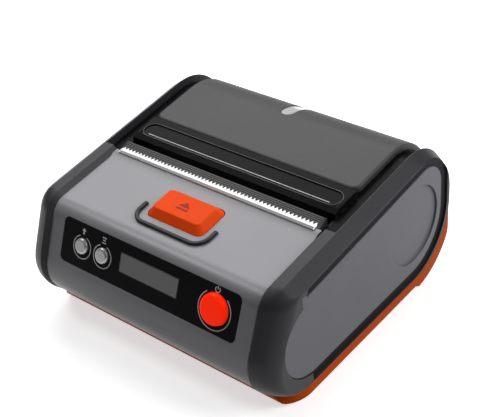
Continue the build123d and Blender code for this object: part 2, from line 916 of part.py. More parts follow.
def make_paper_well():
    outer = bay_radius + bay_skin
    tube = Pos(roll_y, roll_z) * (Circle(outer) - Circle(bay_radius))
    tube &= window_yz(roll_y - outer, roll_y + outer, roll_z - outer, roll_z)
    tube += window_yz(roll_y - outer, roll_y - bay_radius, roll_z - seat_gap, chute_z)
    tube += window_yz(
        roll_y + bay_radius, roll_y + outer, roll_z - seat_gap, rear_edge_z() + seat_gap
    )
    tube += window_yz(chute_front_y, roll_y - bay_radius, chute_z - bay_skin, chute_z)
    inner = chassis_half - chassis_wall - seat_gap
    well = across(tube, -inner, inner)
    # Long slots that the necks of the guides slide in
    wide = guide_face + guide_thickness + open_gap
    narrow = guide_face - guide_travel - open_gap
    for side in (1, -1):
        low, high = rack_body(side)
        slot = block(narrow, wide, 0, roll_y - bay_radius / 2, low - open_gap, high + open_gap)
        well -= left_of(slot) if side > 0 else slot
    well -= block(
        sensor_x - sensor_half - seat_gap, sensor_x + sensor_half + seat_gap, sensor_y - sensor_half / 2,
        sensor_y + sensor_half / 2, chute_z - bay_skin - 1, chute_z + 1
    )
    return well


def make_rear_shell():
    skin = even_outline(rear_sink) - even_outline(rear_sink + thin_wall)
    skin &= window_yz(roll_y + seat_gap, half_depth, 0, rear_edge_z())
    return across(skin, -shell_half, shell_half)


# Silver front shell


def top_plane(y, below):
    # Plane along the sloping top, a given distance under the crown.
    tilt = radians(top_slope)
    normal = (0, -sin(tilt), cos(tilt))
    origin = (0, y - below * normal[1], crown_z(y) - below * normal[2])
    return Plane(origin=origin, x_dir=(1, 0, 0), z_dir=normal)


def front_plane():
    # Plane of the silver front face, centred on the control panel.
    nose, nose_r = outline_points(shell_sink, shell_sink, shell_sink, shell_sink)[:2]
    low = polar(nose, nose_r, 180 - face_tilt)
    climb = panel_offset + overlay_height / 2
    tilt = radians(face_tilt)
    origin = (0, low[0] + climb * sin(tilt), low[1] + climb * cos(tilt))
    return Plane(origin=origin, x_dir=(1, 0, 0), z_dir=(0, -cos(tilt), sin(tilt)))


def slab(shape, z_from, z_to):
    # Local solid between two heights over the sketch plane.
    return extrude(Pos(0, 0, z_from) * shape, z_to - z_from, dir=(0, 0, 1))


def puck(x, y, radius, z_from, z_to):
    return slab(Pos(x, y) * Circle(radius), z_from, z_to)


def keys():
    # Place and size of the three push buttons on the panel.
    return {
        "feed_button": (feed_x, key_v, key_radius, key_proud),
        "config_button": (config_x, key_v, key_radius, key_proud),
        "power_button": (power_x, power_v, power_radius, power_proud),
    }


def open_pad(grow):
    return RectangleRounded(open_length + 2 * grow, open_width + 2 * grow, open_corner + grow)


def below_crown(y, below):
    return (y, crown_z(y) - below)


def make_front_shell():
    skin = shell_outline(0, shell_foot_sink) - shell_outline(shell_wall, shell_foot_sink)
    end = front_shell_end()
    nose_z = hull_bottom + nose_radius
    keep = window_yz(-half_depth, holder_gap_y(), nose_z, case_height)
    keep += window_yz(-half_depth, end, 0, nose_z)
    body = across(skin & keep, -shell_half, shell_half)
    # Raised land with a bevelled front that the blade lies on
    land_sink = blade_sink + blade_thickness + seat_gap
    land = Polygon(
        below_crown(land_front_y, shell_sink + seat_gap),
        below_crown(land_front_y + land_front_run, land_sink),
        below_crown(holder_gap_y(), land_sink),
        below_crown(holder_gap_y(), shell_sink + shell_wall / 2),
        below_crown(land_front_y, shell_sink + shell_wall / 2),
        align=None,
    )
    body += across(land, -shell_half, shell_half)
    top = top_plane(open_y, shell_sink)
    loop = RectangleRounded(2 * ridge_half + ridge_width, 2 * ridge_front + ridge_width, ridge_radius)
    loop -= RectangleRounded(
        2 * ridge_half - ridge_width, 2 * ridge_front - ridge_width, ridge_radius - ridge_width
    )
    loop &= Pos(0, -ridge_front) * Rectangle(3 * ridge_half, 2 * (ridge_front - ridge_back))
    ridge = slab(loop, -shell_wall / 2, ridge_height)
    ridge = fillet(ridge.faces().sort_by(Axis.Z)[-1].edges(), ridge_width * 0.3)
    body += top * ridge
    body -= top * slab(open_pad(open_gap), -2 * shell_wall, shell_wall)
    # Control panel: a recess, and ways through for the buttons and the display
    face = front_plane()
    recess = RectangleRounded(
        overlay_width + 2 * seat_gap, overlay_height + 2 * seat_gap, overlay_radius + seat_gap
    )
    body -= face * slab(recess, -overlay_recess, shell_wall)
    for x, v, radius, proud in keys().values():
        body -= face * puck(x, v, radius + key_fit, -2 * shell_wall, shell_wall)
    body -= face * slab(
        Pos(lcd_x, lcd_v) * Rectangle(lcd_width + 2 * shell_wall, lcd_height + shell_wall),
        -2 * shell_wall, shell_wall
    )
    for side in (-1, 1):
        body += face * puck(
            side * board_boss_x, 0, screw_radius * 1.5, -panel_board_depth + board_thickness + seat_gap,
            -overlay_recess - seat_gap
        )
    return body


# Control panel


def make_control_panel():
    plate = RectangleRounded(overlay_width, overlay_height, overlay_radius)
    plate -= Pos(lcd_x, lcd_v) * Rectangle(lcd_width, lcd_height)
    for x, v, radius, proud in keys().values():
        plate -= Pos(x, v) * Circle(radius + key_fit)
    return front_plane() * slab(plate, -overlay_recess, overlay_thickness - overlay_recess)


def make_lcd_window():
    pane = Pos(lcd_x, lcd_v) * Rectangle(lcd_width - 2 * seat_gap, lcd_height - 2 * seat_gap)
    return front_plane() * slab(pane, -overlay_recess, overlay_thickness - overlay_recess - seat_gap)


def make_lcd_module():
    glass = Pos(lcd_x, lcd_v) * Rectangle(lcd_width + shell_wall, lcd_height + shell_wall / 2)
    frame = Pos(lcd_x, lcd_v) * Rectangle(lcd_width + 4 * shell_wall, lcd_height + 3 * shell_wall)
    deep = board_thickness - panel_board_depth
    module = slab(glass, deep, -overlay_recess - seat_gap)
    return front_plane() * (module + slab(frame, deep, -shell_wall - seat_gap))


def make_panel_board():
    board = Rectangle(2 * (board_boss_x + board_margin), overlay_height - shell_wall)
    return front_plane() * slab(board, -panel_board_depth, board_thickness - panel_board_depth)


def make_switches():
    deep = board_thickness - panel_board_depth
    switches = []
    for x, v, radius, proud in keys().values():
        case = slab(Pos(x, v) * Rectangle(switch_size, switch_size), deep, deep + switch_height)
        switches.append((front_plane() * case).solid())
    return Compound(switches)


def make_key(x, v, radius, proud):
    # Domed cap, a flange that keeps it in, and a stem to its switch.
    cap = puck(0, 0, radius, -shell_wall - key_flange, proud)
    cap = fillet(cap.edges().sort_by(Axis.Z)[-1], min(proud * 0.9, radius * 0.4))
    flange = puck(0, 0, radius + key_flange, -shell_wall - seat_gap - key_flange, -shell_wall - seat_gap)
    switch_top = board_thickness - panel_board_depth + switch_height
    stem = puck(0, 0, radius / 2, switch_top + key_travel + key_fit, -shell_wall - key_flange)
    return front_plane() * (Pos(x, v) * (cap + flange + stem))


# Open button and latch


def latch_tab_top():
    return latch_z + latch_hub_radius


def make_open_button():
    plane = top_plane(open_y, shell_sink)
    crest = RectangleRounded(open_top_length, open_top_width, open_corner * 0.7)
    cap = loft([open_pad(0).face(), (Pos(0, 0, open_travel + open_crest) * crest).face()])
    cap = fillet(cap.faces().sort_by(Axis.Z)[-1].edges(), edge_round)
    skirt = slab(open_pad(0), -shell_wall - open_flange, 0)
    flange = slab(open_pad(open_flange), -shell_wall - 2 * open_flange, -shell_wall - seat_gap)
    button = plane * (cap + skirt + flange)
    # Stem that presses the latch tab
    low = latch_tab_top() + hook_gap
    high = crown_z(latch_tab_y) - shell_sink - shell_wall - 1.5 * open_flange
    half = open_flange / 2
    return button + block(
        -2 * open_flange, 2 * open_flange, latch_tab_y - half, latch_tab_y + half, low, high
    )


def make_latch():
    # Tube on the pin, an arm at each end with a hook at the platen shaft, and the tab.
    reach = latch_arm_x + latch_arm_width
    hub = Pos(latch_y, latch_z) * Circle(latch_hub_radius)
    tip_y = platen_y - shaft_radius - hook_gap
    throat_y = tip_y - hook_depth
    arm = hub + Polygon(
        (latch_y, latch_z - latch_hub_radius),
        (throat_y - latch_neck, platen_z - hook_throat - shaft_radius),
        (throat_y, platen_z - hook_throat),
        (throat_y, platen_z + hook_tip - hook_throat),
        (tip_y, platen_z + hook_tip),
        (tip_y, platen_z + hook_height),
        (throat_y - hook_throat, platen_z + hook_height),
        (throat_y - latch_neck - shaft_radius / 2, platen_z + hook_throat),
        (latch_y, latch_z + latch_hub_radius),
        align=None,
    )
    body = both_sides(arm, latch_arm_x, reach)
    body += rod(latch_y, latch_z, latch_hub_radius, -reach, reach)
    top = latch_tab_top()
    body += block(
        -2 * latch_hub_radius, 2 * latch_hub_radius, latch_tab_y - latch_tab_thickness, latch_y,
        top - latch_tab_thickness, top
    )
    return body - rod(latch_y, latch_z, latch_pin_radius + running_gap, -reach - 1, reach + 1)


def make_latch_pin():
    half = chassis_half - seat_gap
    return rod(latch_y, latch_z, latch_pin_radius, -half, half)


# Tear blade and the bar behind it


def make_blade():
    # Strip with sharp teeth along its rear edge.
    plane = top_plane(blade_front_y, blade_sink + blade_thickness)
    depth = (blade_tip_y - blade_front_y) / cos(radians(top_slope))
    count = round(2 * blade_half / blade_tooth_pitch)
    pitch = 2 * blade_half / count
    root = depth - blade_tooth_height
    points = [(-blade_half, 0), (-blade_half, root)]
    for tooth in range(count):
        left = -blade_half + tooth * pitch
        points.append((left + pitch / 2, depth))
        points.append((left + pitch, root))
    points.append((blade_half, 0))
    return plane * slab(Polygon(*points, align=None), 0, blade_thickness)


def make_blade_holder():
    land_sink = blade_sink + blade_thickness
    foot = cross_wall_top + seat_gap
    heel_y = holder_front_y + holder_web
    profile = Polygon(
        below_crown(holder_front_y, land_sink + seat_gap),
        below_crown(blade_tip_y + open_gap, land_sink + seat_gap),
        below_crown(holder_rear_y - edge_round, seat_gap),
        below_crown(holder_rear_y, edge_round),
        (holder_rear_y, holder_bottom),
        (heel_y, holder_bottom),
        (heel_y, foot),
        (cross_wall_y, foot),
        (cross_wall_y, foot + bay_wall),
        below_crown(holder_front_y, shell_sink + shell_wall + bay_wall),
        align=None,
    )
    return across(profile, -holder_half, holder_half)


# Print head


def head_face_y():
    return platen_y - platen_radius - head_gap


def head_pivot_y():
    return head_face_y() - ceramic_thickness - heatsink_thickness / 2


def make_print_head():
    # Ceramic strip whose heater line faces the platen.
    y = head_face_y()
    return block(-head_half, head_half, y - ceramic_thickness, y, ceramic_bottom, head_top)


def make_heatsink():
    rear = head_face_y() - ceramic_thickness
    front = rear - heatsink_thickness
    plate = block(-head_half, head_half, front, rear, head_pivot_z - 2 * head_pivot_radius, head_top)
    return plate - rod(
        head_pivot_y(), head_pivot_z, head_pivot_radius + running_gap, -head_half - 1, head_half + 1
    )


def make_head_pin():
    half = chassis_half - seat_gap
    return rod(head_pivot_y(), head_pivot_z, head_pivot_radius, -half, half)


def make_head_springs():
    wall = cross_wall_y + bay_wall
    front = head_face_y() - ceramic_thickness - heatsink_thickness
    springs = []
    for x in (-head_spring_x, head_spring_x):
        sleeve = Pos(x, head_spring_z) * (Circle(head_spring_radius) - Circle(head_spring_radius * 0.6))
        springs.append(along_y(sleeve, wall + seat_gap, front - seat_gap).solid())
    return Compound(springs)


def make_ribbon():
    # Flat cable from the head down to the board behind the cross wall.
    front = head_face_y() - ceramic_thickness - heatsink_thickness - hook_gap
    end = cross_wall_y - ribbon_tail
    top = head_pivot_z + ribbon_overlap
    t = ribbon_thickness
    drop = Polygon(
        (front, top), (front, ribbon_z), (end, ribbon_z), (end, ribbon_z + t),
        (front - t, ribbon_z + t), (front - t, top), align=None,
    )
    return across(drop, -ribbon_width / 2, ribbon_width / 2)


# Drive


def gear_outline(module, teeth, start_angle):
    # Involute teeth, the first one centred on start_angle, with a little backlash.
    pitch_r = module * teeth / 2
    base_r = pitch_r * cos(radians(gear_pressure))
    tip_r = pitch_r + gear_addendum * module
    root_r = pitch_r - gear_dedendum * module
    half_tooth = pi / (2 * teeth) - gear_backlash / (2 * pitch_r)
    roll = tan(radians(gear_pressure)) - radians(gear_pressure)

    def flank(radius):
        if radius <= base_r:
            return half_tooth + roll
        angle = acos(base_r / radius)
        return half_tooth + roll - (tan(angle) - angle)

    start_r = max(root_r, base_r)
    radii = [root_r] if root_r < base_r else []
    radii += [start_r + (tip_r - start_r) * step / 4 for step in range(5)]
    points = []
    for tooth in range(teeth):
        centre = radians(start_angle) + 2 * pi * tooth / teeth
        side = [(r, centre - flank(r)) for r in radii] + [(r, centre + flank(r)) for r in reversed(radii)]
        points += [(r * cos(angle), r * sin(angle)) for r, angle in side]
    return Polygon(*points, align=None)


def drive_gear(centre, teeth, start_angle, bore):
    shape = gear_outline(gear_module, teeth, start_angle) - Circle(bore)
    return across(Pos(*centre) * shape, -gear_side - gear_width, -gear_side)


def idler_start():
    # A gap of the idler meets the platen gear's tooth.
    return idler_angle + 180 + 180 / idler_teeth


def pinion_start():
    # The pinion's gap meets the idler tooth next to the line of centres.
    step = 360 / idler_teeth
    offset = (idler_start() - pinion_angle) % step
    return pinion_angle + 180 - offset * idler_teeth / pinion_teeth + 180 / pinion_teeth


def make_platen_gear():
    return drive_gear((platen_y, platen_z), platen_teeth, idler_angle, shaft_radius)


def make_idler_gear():
    return drive_gear(idler_centre(), idler_teeth, idler_start(), idler_post_radius + running_gap)


def make_motor_pinion():
    y, z = motor_centre()
    gear = drive_gear((y, z), pinion_teeth, pinion_start(), motor_shaft_radius / 2)
    front = -chassis_half + chassis_wall + seat_gap + motor_length / 2
    return gear + rod(y, z, motor_shaft_radius, -gear_side - gear_width, front)


def make_motor():
    y, z = motor_centre()
    start = -chassis_half + chassis_wall + seat_gap
    body = rod(y, z, motor_radius, start, start + motor_length)
    body = fillet(body.edges(), edge_round)
    return body - rod(y, z, motor_shaft_radius + running_gap, start - 1, start + motor_length / 2 + 1)


def make_platen_shaft():
    return rod(platen_y, platen_z, shaft_radius, -gear_side - gear_width - seat_gap, chassis_half + 1)


def make_platen_rubber():
    return ring(platen_y, platen_z, platen_radius, shaft_radius, -platen_half, platen_half)


def make_bushings():
    bore = shaft_radius + running_gap
    bushings = []
    for side in (-1, 1):
        hub = ring(platen_y, platen_z, bushing_radius, bore, cheek_inner, cheek_inner + cheek_skin)
        flange = ring(
            platen_y, platen_z, bushing_radius + bushing_flange / 2, bore, cheek_inner - bushing_flange,
            cheek_inner
        )
        part = hub + flange
        bushings.append(part.solid() if side > 0 else left_of(part).solid())
    return Compound(bushings)


# Lid


def lid_side_form():
    # Outer form of the black side channel, drawn in at its rear corner.
    faces = []
    for step in range(corner_steps + 1):
        angle = radians(90 * step / corner_steps)
        x = lid_corner_start + (lid_half - lid_corner_start) * sin(angle)
        rear = channel_sink + lid_corner_drop * (1 - cos(angle))
        faces.append(at_x(x, outline(channel_sink, channel_sink, rear, channel_sink)))
    return loft(faces, ruled=True)


def make_lid_frame():
    deck_sink = cover_thickness + seat_gap
    deck = even_outline(deck_sink) - even_outline(deck_sink + shell_wall)
    wall_low = hinge_z + barrel_radius / 2
    deck_keep = window_yz(lip_front_y, half_depth, wall_low, case_height)
    body = across(deck & deck_keep, -barrel_half, barrel_half)
    keep = window_yz(lip_front_y, half_depth, lid_rear_z, case_height)
    body += across(deck & keep, -lid_corner_start, lid_corner_start)
    # Lip in front of the cover, folded down at its edge
    lip = Polygon(
        below_crown(lip_front_y, lip_sink + lip_fold_drop),
        below_crown(lip_fold_y, lip_sink),
        below_crown(cover_front_y - seat_gap, lip_sink),
        below_crown(cover_front_y - seat_gap, deck_sink + shell_wall),
        below_crown(lip_front_y, deck_sink + shell_wall),
        align=None,
    )
    body += across(lip, -lip_half, lip_half)
    length = lip_panel_rear_y - lip_fold_y
    panel = RectangleRounded(2 * lip_panel_half, 2 * length, lip_panel_radius)
    panel &= Pos(0, length / 2) * Rectangle(2 * lip_panel_half, length)
    body -= top_plane(lip_fold_y, lip_sink) * slab(panel, -lip_panel_depth, 1)
    # Side channels and the cheeks that hold the platen
    body += lid_sides()
    body += ring(hinge_y, hinge_z, barrel_radius, hinge_pin_radius, -barrel_half, barrel_half)
    body -= rod(hinge_y, hinge_z, hinge_pin_radius + running_gap, -lid_half, lid_half)
    # View slot under the window
    body -= window_prism(-shell_wall / 2)
    return body


def lid_sides():
    form = lid_side_form()
    outer = even_outline(channel_sink)
    keep = window_yz(lid_front_y, half_depth, lid_split_z, case_height)
    roof = (outer - even_outline(channel_sink + channel_skin)) & keep
    right = across(roof, cheek_inner, lid_half)
    right += across(outer & keep, cheek_inner, cheek_inner + cheek_skin)
    right += across(outer & keep, lid_half - cheek_outer_skin, lid_half)
    front = window_yz(lid_front_y, lid_front_y + cheek_outer_skin, lid_split_z, case_height)
    right += across(outer & front, cheek_inner, lid_half)
    # Rear wall of the channel follows the drawn-in corner
    inner_form = across(even_outline(channel_sink + channel_skin + lid_corner_drop), cheek_inner, lid_half)
    rear = window_yz(roll_y + bay_radius / 2, half_depth, lid_split_z, case_height)
    right += across(outer & rear, cheek_inner, lid_half) - inner_form
    right &= form + across(outer, cheek_inner - 1, lid_corner_start)
    right += ring(
        platen_y, platen_z, bushing_radius + cheek_skin, bushing_radius, cheek_inner, cheek_inner + cheek_skin
    )
    right -= rod(platen_y, platen_z, bushing_radius, cheek_inner - 1, cheek_inner + cheek_skin + 0.1)
    right -= rod(hinge_y, hinge_z, barrel_radius + 2.5 * open_gap, barrel_half + open_gap, lid_half + 1)
    return right + left_of(right)


def window_prism(grow):
    width = window_width + 2 * grow
    start = window_start_y + window_width / 2
    slot = Pos(window_x, start) * Circle(width / 2)
    slot += Pos(window_x, (start + case_depth) / 2) * Rectangle(width, case_depth - start)
    return Pos(0, 0, lid_rear_z + window_width / 2) * extrude(slot, case_height)


def make_lid_cover():
    skin = even_outline(0) - even_outline(cover_thickness)
    skin &= window_yz(cover_front_y, half_depth, lid_rear_z, case_height)
    cover = across(skin, -cover_half, cover_half)
    upright_edges = cover.edges().filter_by(lambda e: abs(e.center().Y - cover_front_y) < 0.5)
    corners = upright_edges.filter_by(lambda e: abs(abs(e.center().X) - cover_half) < 0.1)
    cover = fillet(corners, cover_corner)
    return cover - window_prism(0)


def make_lid_window():
    skin = even_outline(window_sink) - even_outline(window_sink + window_thickness)
    strip = across(skin, window_x - window_width, window_x + window_width)
    return strip & window_prism(-seat_gap) & block(
        -half_width, half_width, 0, half_depth, lid_rear_z + window_width / 2 + seat_gap, case_height
    )


def make_hinge_pin():
    half = chassis_half - seat_gap
    return rod(hinge_y, hinge_z, hinge_pin_radius, -half, half)


# Paper guides


def rack_teeth_face(side):
    # Straight-sided teeth along X; the gap at x = 0 takes the pinion's tooth.
    pitch = pi * rack_module
    line = rack_axis_z + side * rack_pitch_radius()
    tip = line - side * gear_addendum * rack_module
    root = line + side * gear_dedendum * rack_module
    lean = tan(radians(gear_pressure))
    half = pitch / 4 - gear_backlash / 2
    tip_half = half - gear_addendum * rack_module * lean
    root_half = half + gear_dedendum * rack_module * lean
    reach = guide_travel + rack_reach
    shape = None
    for step in range(-ceil(reach / pitch), int(rack_reach / pitch)):
        x = (step + 0.5) * pitch
        tooth = Polygon(
            (x - root_half, root + side * 0.1), (x - tip_half, tip), (x + tip_half, tip),
            (x + root_half, root + side * 0.1), align=None,
        )
        shape = tooth if shape is None else shape + tooth
    return shape


def make_guide(side):
    # Both guides are drawn on the left; the right one is mirrored.
    low, high = rack_body(side)
    outer = guide_face + guide_thickness
    plate = Pos(roll_y, roll_z) * Circle(guide_radius)
    plate += window_yz(rack_y, roll_y - guide_radius / 2, low, high)
    body = across(plate, -outer, -guide_face)
    body -= rod(roll_y, roll_z, hub_pin_radius + running_gap, -outer - 1, -guide_face + 1)
    return body if side > 0 else left_of(body)


def make_rack(side):
    # The left guide's rack runs over the pinion, the right guide's under it.
    low, high = rack_body(side)
    length = guide_face + rack_reach
    bar = Pos((rack_reach - guide_face) / 2, (low + high) / 2) * Rectangle(length, high - low)
    rack = along_y(bar, rack_y, rack_y + rack_width)
    rack += along_y(rack_teeth_face(side), rack_y, rack_y + rack_width)
    return rack if side > 0 else left_of(rack)


def make_hub(side):
    face = -guide_face + open_gap / 2
    hub = rod(roll_y, roll_z, hub_radius, face, face + hub_length)
    hub = fillet(hub.edges().sort_by(Axis.X)[-1], edge_round)
    hub += rod(roll_y, roll_z, hub_pin_radius, -guide_face - guide_thickness, face + seat_gap)
    return hub if side > 0 else left_of(hub)


def make_guide_pinion():
    shape = gear_outline(rack_module, rack_teeth, 0) - Circle(rack_post_radius + running_gap)
    return along_y(Pos(0, rack_axis_z) * shape, rack_y, rack_y + rack_width)


# Electronics


def make_main_board():
    z = main_board_z
    front = usb_y - usb_width
    rear = cross_wall_y - bay_wall
    edge = chassis_half - chassis_wall - open_gap
    motor_front = motor_centre()[0] - motor_radius - open_gap
    board = block(-edge, edge, front, motor_front, z, z + board_thickness)
    board += block(cross_wall_left + shell_wall / 2, edge, front, rear, z, z + board_thickness)
    tongue = usb_width / 2 + shell_wall / 2
    board += block(-web_inner + open_gap, -edge, usb_y - tongue, usb_y + tongue, z, z + board_thickness)
    # Chips and the ribbon's connector
    top = z + board_thickness - seat_gap
    for x, back, length, width, height in board_chips:
        y = front + back
        board += block(x - length / 2, x + length / 2, y - width / 2, y + width / 2, top, top + height)
    half = ribbon_width / 2 + shell_wall / 2
    board += block(-half, half, rear - connector_depth, rear, top, ribbon_z - seat_gap)
    return board


def usb_face(grow):
    return Pos(usb_y, usb_z()) * RectangleRounded(
        usb_width + 2 * grow, usb_height + 2 * grow, usb_height * 0.4 + grow
    )


def make_usb():
    # Shell with a tongue inside, open to the left side.
    back = usb_depth - usb_out
    shell = across(usb_face(0), -usb_out, back)
    shell -= across(usb_face(-usb_skin), -usb_out - 1, back - 3 * usb_skin)
    tongue = Pos(usb_y, usb_z()) * Rectangle(usb_width * 0.7, usb_height * 0.25)
    return shell + across(tongue, -usb_out + 3 * usb_skin, back - usb_skin)


def make_paper_sensor():
    return block(
        sensor_x - sensor_half, sensor_x + sensor_half, sensor_y - sensor_half / 2 + seat_gap,
        sensor_y + sensor_half / 2 - seat_gap, chute_z - sensor_height, chute_z
    )


def make_cover_switch():
    inner = chassis_half - chassis_wall
    outer = inner - seat_gap
    body = block(
        outer - switch_case, outer, cover_switch_y - switch_case, cover_switch_y + switch_case,
        chassis_top_z - 3 * switch_case, chassis_top_z - switch_case / 4
    )
    return body + block(
        outer - switch_case * 0.8, outer - switch_case * 0.2, cover_switch_y - switch_case / 2,
        cover_switch_y + switch_case / 2, chassis_top_z - switch_case, chassis_top_z + seat_gap
    )


def with_socket_hole(part):
    return part - across(usb_face(open_gap), -half_width - 1, -web_inner + 1)


def main():
    os.makedirs("parts", exist_ok=True)
    bumper = make_bumper()
    panel = make_side_panel()
    nodes = {
        "base_shell": make_base(),
        "foot_pads": make_feet(),
        "battery_door": make_door(),
        "battery_pack": make_battery(),
        "base_screws": make_screws(),
        "bumper_right": bumper,
        "bumper_left": with_socket_hole(left_of(bumper)),
        "side_panel_right": panel,
        "side_panel_left": with_socket_hole(left_of(panel)),
        "chassis": make_chassis(),
        "side_frame_left": make_side_frame(-1),
        "side_frame_right": make_side_frame(1),
        "paper_well": make_paper_well(),
        "rear_shell": make_rear_shell(),
        "front_shell": make_front_shell(),
        "control_panel": make_control_panel(),
        "lcd_window": make_lcd_window(),
        "lcd_module": make_lcd_module(),
        "panel_board": make_panel_board(),
        "key_switches": make_switches(),
        "open_button": make_open_button(),
        "latch_bar": make_latch(),
        "latch_pin": make_latch_pin(),
        "tear_blade": make_blade(),
        "blade_holder": make_blade_holder(),
        "print_head": make_print_head(),
        "head_heatsink": make_heatsink(),
        "head_pin": make_head_pin(),
        "head_springs": make_head_springs(),
        "head_ribbon": make_ribbon(),
        "feed_motor": make_motor(),
        "motor_pinion": make_motor_pinion(),
        "idler_gear": make_idler_gear(),
        "platen_gear": make_platen_gear(),
        "platen_shaft": make_platen_shaft(),
        "platen_rubber": make_platen_rubber(),
        "platen_bushings": make_bushings(),
        "lid_frame": make_lid_frame(),
        "lid_cover": make_lid_cover(),
        "lid_window": make_lid_window(),
        "hinge_pin": make_hinge_pin(),
        "guide_left": make_guide(1),
        "guide_right": make_guide(-1),
        "guide_rack_left": make_rack(1),
        "guide_rack_right": make_rack(-1),
        "hub_left": make_hub(1),
        "hub_right": make_hub(-1),
        "guide_pinion": make_guide_pinion(),
        "main_board": make_main_board(),
        "usb_socket": make_usb(),
        "paper_sensor": make_paper_sensor(),
        "cover_switch": make_cover_switch(),
    }
    for name, (x, v, radius, proud) in keys().items():
        nodes[name] = make_key(x, v, radius, proud)
    for name, part in nodes.items():
        save(name, part)
    print(len(nodes), "sub-parts written")


main()
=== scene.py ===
import json
from math import cos, radians, sin, tan

import bmesh
import bpy
from mathutils import Matrix, Vector


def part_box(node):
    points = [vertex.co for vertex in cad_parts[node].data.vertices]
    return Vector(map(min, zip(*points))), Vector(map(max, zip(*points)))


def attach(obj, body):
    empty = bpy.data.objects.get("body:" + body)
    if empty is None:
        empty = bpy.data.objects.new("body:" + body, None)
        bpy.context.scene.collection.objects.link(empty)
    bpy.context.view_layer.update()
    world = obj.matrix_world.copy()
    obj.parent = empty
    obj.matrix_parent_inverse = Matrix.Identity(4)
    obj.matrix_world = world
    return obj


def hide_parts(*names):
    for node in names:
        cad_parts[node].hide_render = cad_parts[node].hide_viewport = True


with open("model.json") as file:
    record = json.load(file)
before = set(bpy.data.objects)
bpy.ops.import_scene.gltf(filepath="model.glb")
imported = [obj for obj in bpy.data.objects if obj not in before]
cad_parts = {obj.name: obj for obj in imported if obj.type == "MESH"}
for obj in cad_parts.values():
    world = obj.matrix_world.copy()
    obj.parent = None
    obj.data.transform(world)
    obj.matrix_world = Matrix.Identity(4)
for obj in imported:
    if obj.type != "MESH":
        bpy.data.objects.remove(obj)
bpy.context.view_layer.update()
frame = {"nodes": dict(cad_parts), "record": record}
nodes = frame["nodes"]
bodies = frame["record"]["behaviour"]["bodies"]
bodyOfNode = {node: body for body, members in bodies.items() for node in members}
slotOfNode = {part["node"]: part["material_slot"] for part in frame["record"]["subparts"]}
mm = 0.001
print("frame loaded:", len(nodes), "nodes")


def addObject(name, data):
    added = bpy.data.objects.new(name, data)
    bpy.context.scene.collection.objects.link(added)
    return added


# Shader helpers

def newNode(tree, kind, place=(0, 0), **settings):
    node = tree.nodes.new(kind)
    node.location = place
    for name, value in settings.items():
        setattr(node, name, value)
    return node


def mathNode(tree, operation, first, second=None, clamp=False):
    node = newNode(tree, "ShaderNodeMath", operation=operation, use_clamp=clamp)
    for socket, value in zip(node.inputs, (first, second)):
        if value is None:
            continue
        if isinstance(value, (int, float)):
            socket.default_value = value
        else:
            tree.links.new(value, socket)
    return node.outputs[0]


def rangeNode(tree, value, low, high, toLow=0.0, toHigh=1.0):
    node = newNode(tree, "ShaderNodeMapRange")
    tree.links.new(value, node.inputs["Value"])
    for name, amount in (("From Min", low), ("From Max", high), ("To Min", toLow), ("To Max", toHigh)):
        node.inputs[name].default_value = amount
    return node.outputs[0]


def mixColour(tree, mask, first, second):
    node = newNode(tree, "ShaderNodeMix", data_type="RGBA")
    for socket, value in ((node.inputs[0], mask), (node.inputs[6], first), (node.inputs[7], second)):
        if hasattr(value, "is_output"):
            tree.links.new(value, socket)
        elif isinstance(value, (int, float)):
            socket.default_value = value
        else:
            socket.default_value = (*value, 1)
    return node.outputs[2]


def startGroup(name, inputs, outputs):
    group = bpy.data.node_groups.new(name, "ShaderNodeTree")
    for label, default in inputs:
        socket = group.interface.new_socket(name=label, in_out="INPUT", socket_type="NodeSocketFloat")
        socket.default_value = default
    for label in outputs:
        group.interface.new_socket(name=label, in_out="OUTPUT", socket_type="NodeSocketFloat")
    return group, newNode(group, "NodeGroupInput", (-900, 0)), newNode(group, "NodeGroupOutput", (500, 0))


def noiseOf(tree, scale, detail=3.0, stretch=None):
    place = newNode(tree, "ShaderNodeTexCoord").outputs["Object"]
    if stretch:
        mapping = newNode(tree, "ShaderNodeMapping")
        mapping.inputs["Scale"].default_value = stretch
        tree.links.new(place, mapping.inputs["Vector"])
        place = mapping.outputs[0]
    noise = newNode(tree, "ShaderNodeTexNoise")
    tree.links.new(place, noise.inputs["Vector"])
    noise.inputs["Detail"].default_value = detail
    if isinstance(scale, (int, float)):
        noise.inputs["Scale"].default_value = scale
    else:
        tree.links.new(scale, noise.inputs["Scale"])
    return noise.outputs["Fac"]


# Fine moulded texture: a height for the bump, and a slow mottling of the shade
mouldedGrain = {
    "fineness": 2600.0, "mottleScale": 45.0, "detail": 2.0, "coarser": 0.31,
    "fineShare": 0.65, "coarseShare": 0.35, "mottleDetail": 4.0, "mottleFrom": 0.3, "mottleTo": 0.7,
}


def buildGrainGroup():
    sizes = [("Fineness", mouldedGrain["fineness"]), ("Mottle Scale", mouldedGrain["mottleScale"])]
    group, entry, leave = startGroup("mouldedGrain", sizes, ["Height", "Mottle"])
    fineness = entry.outputs["Fineness"]
    fine = noiseOf(group, fineness, mouldedGrain["detail"])
    coarser = mathNode(group, "MULTIPLY", fineness, mouldedGrain["coarser"])
    coarse = noiseOf(group, coarser, mouldedGrain["detail"])
    fineShare = mathNode(group, "MULTIPLY", fine, mouldedGrain["fineShare"])
    coarseShare = mathNode(group, "MULTIPLY", coarse, mouldedGrain["coarseShare"])
    group.links.new(mathNode(group, "ADD", fineShare, coarseShare), leave.inputs["Height"])
    patches = noiseOf(group, entry.outputs["Mottle Scale"], mouldedGrain["mottleDetail"])
    mottle = rangeNode(group, patches, mouldedGrain["mottleFrom"], mouldedGrain["mottleTo"])
    group.links.new(mottle, leave.inputs["Mottle"])
    return group


# Where edges have been rubbed: the shading normal of a rounded edge leaves the true one
edgeWear = {
    "radius": 0.0005, "breakup": 380.0, "samples": 4, "patchFrom": 0.42, "patchTo": 0.62,
    "untouched": 0.995, "rubbed": 0.86,  # how alike the two normals are
}


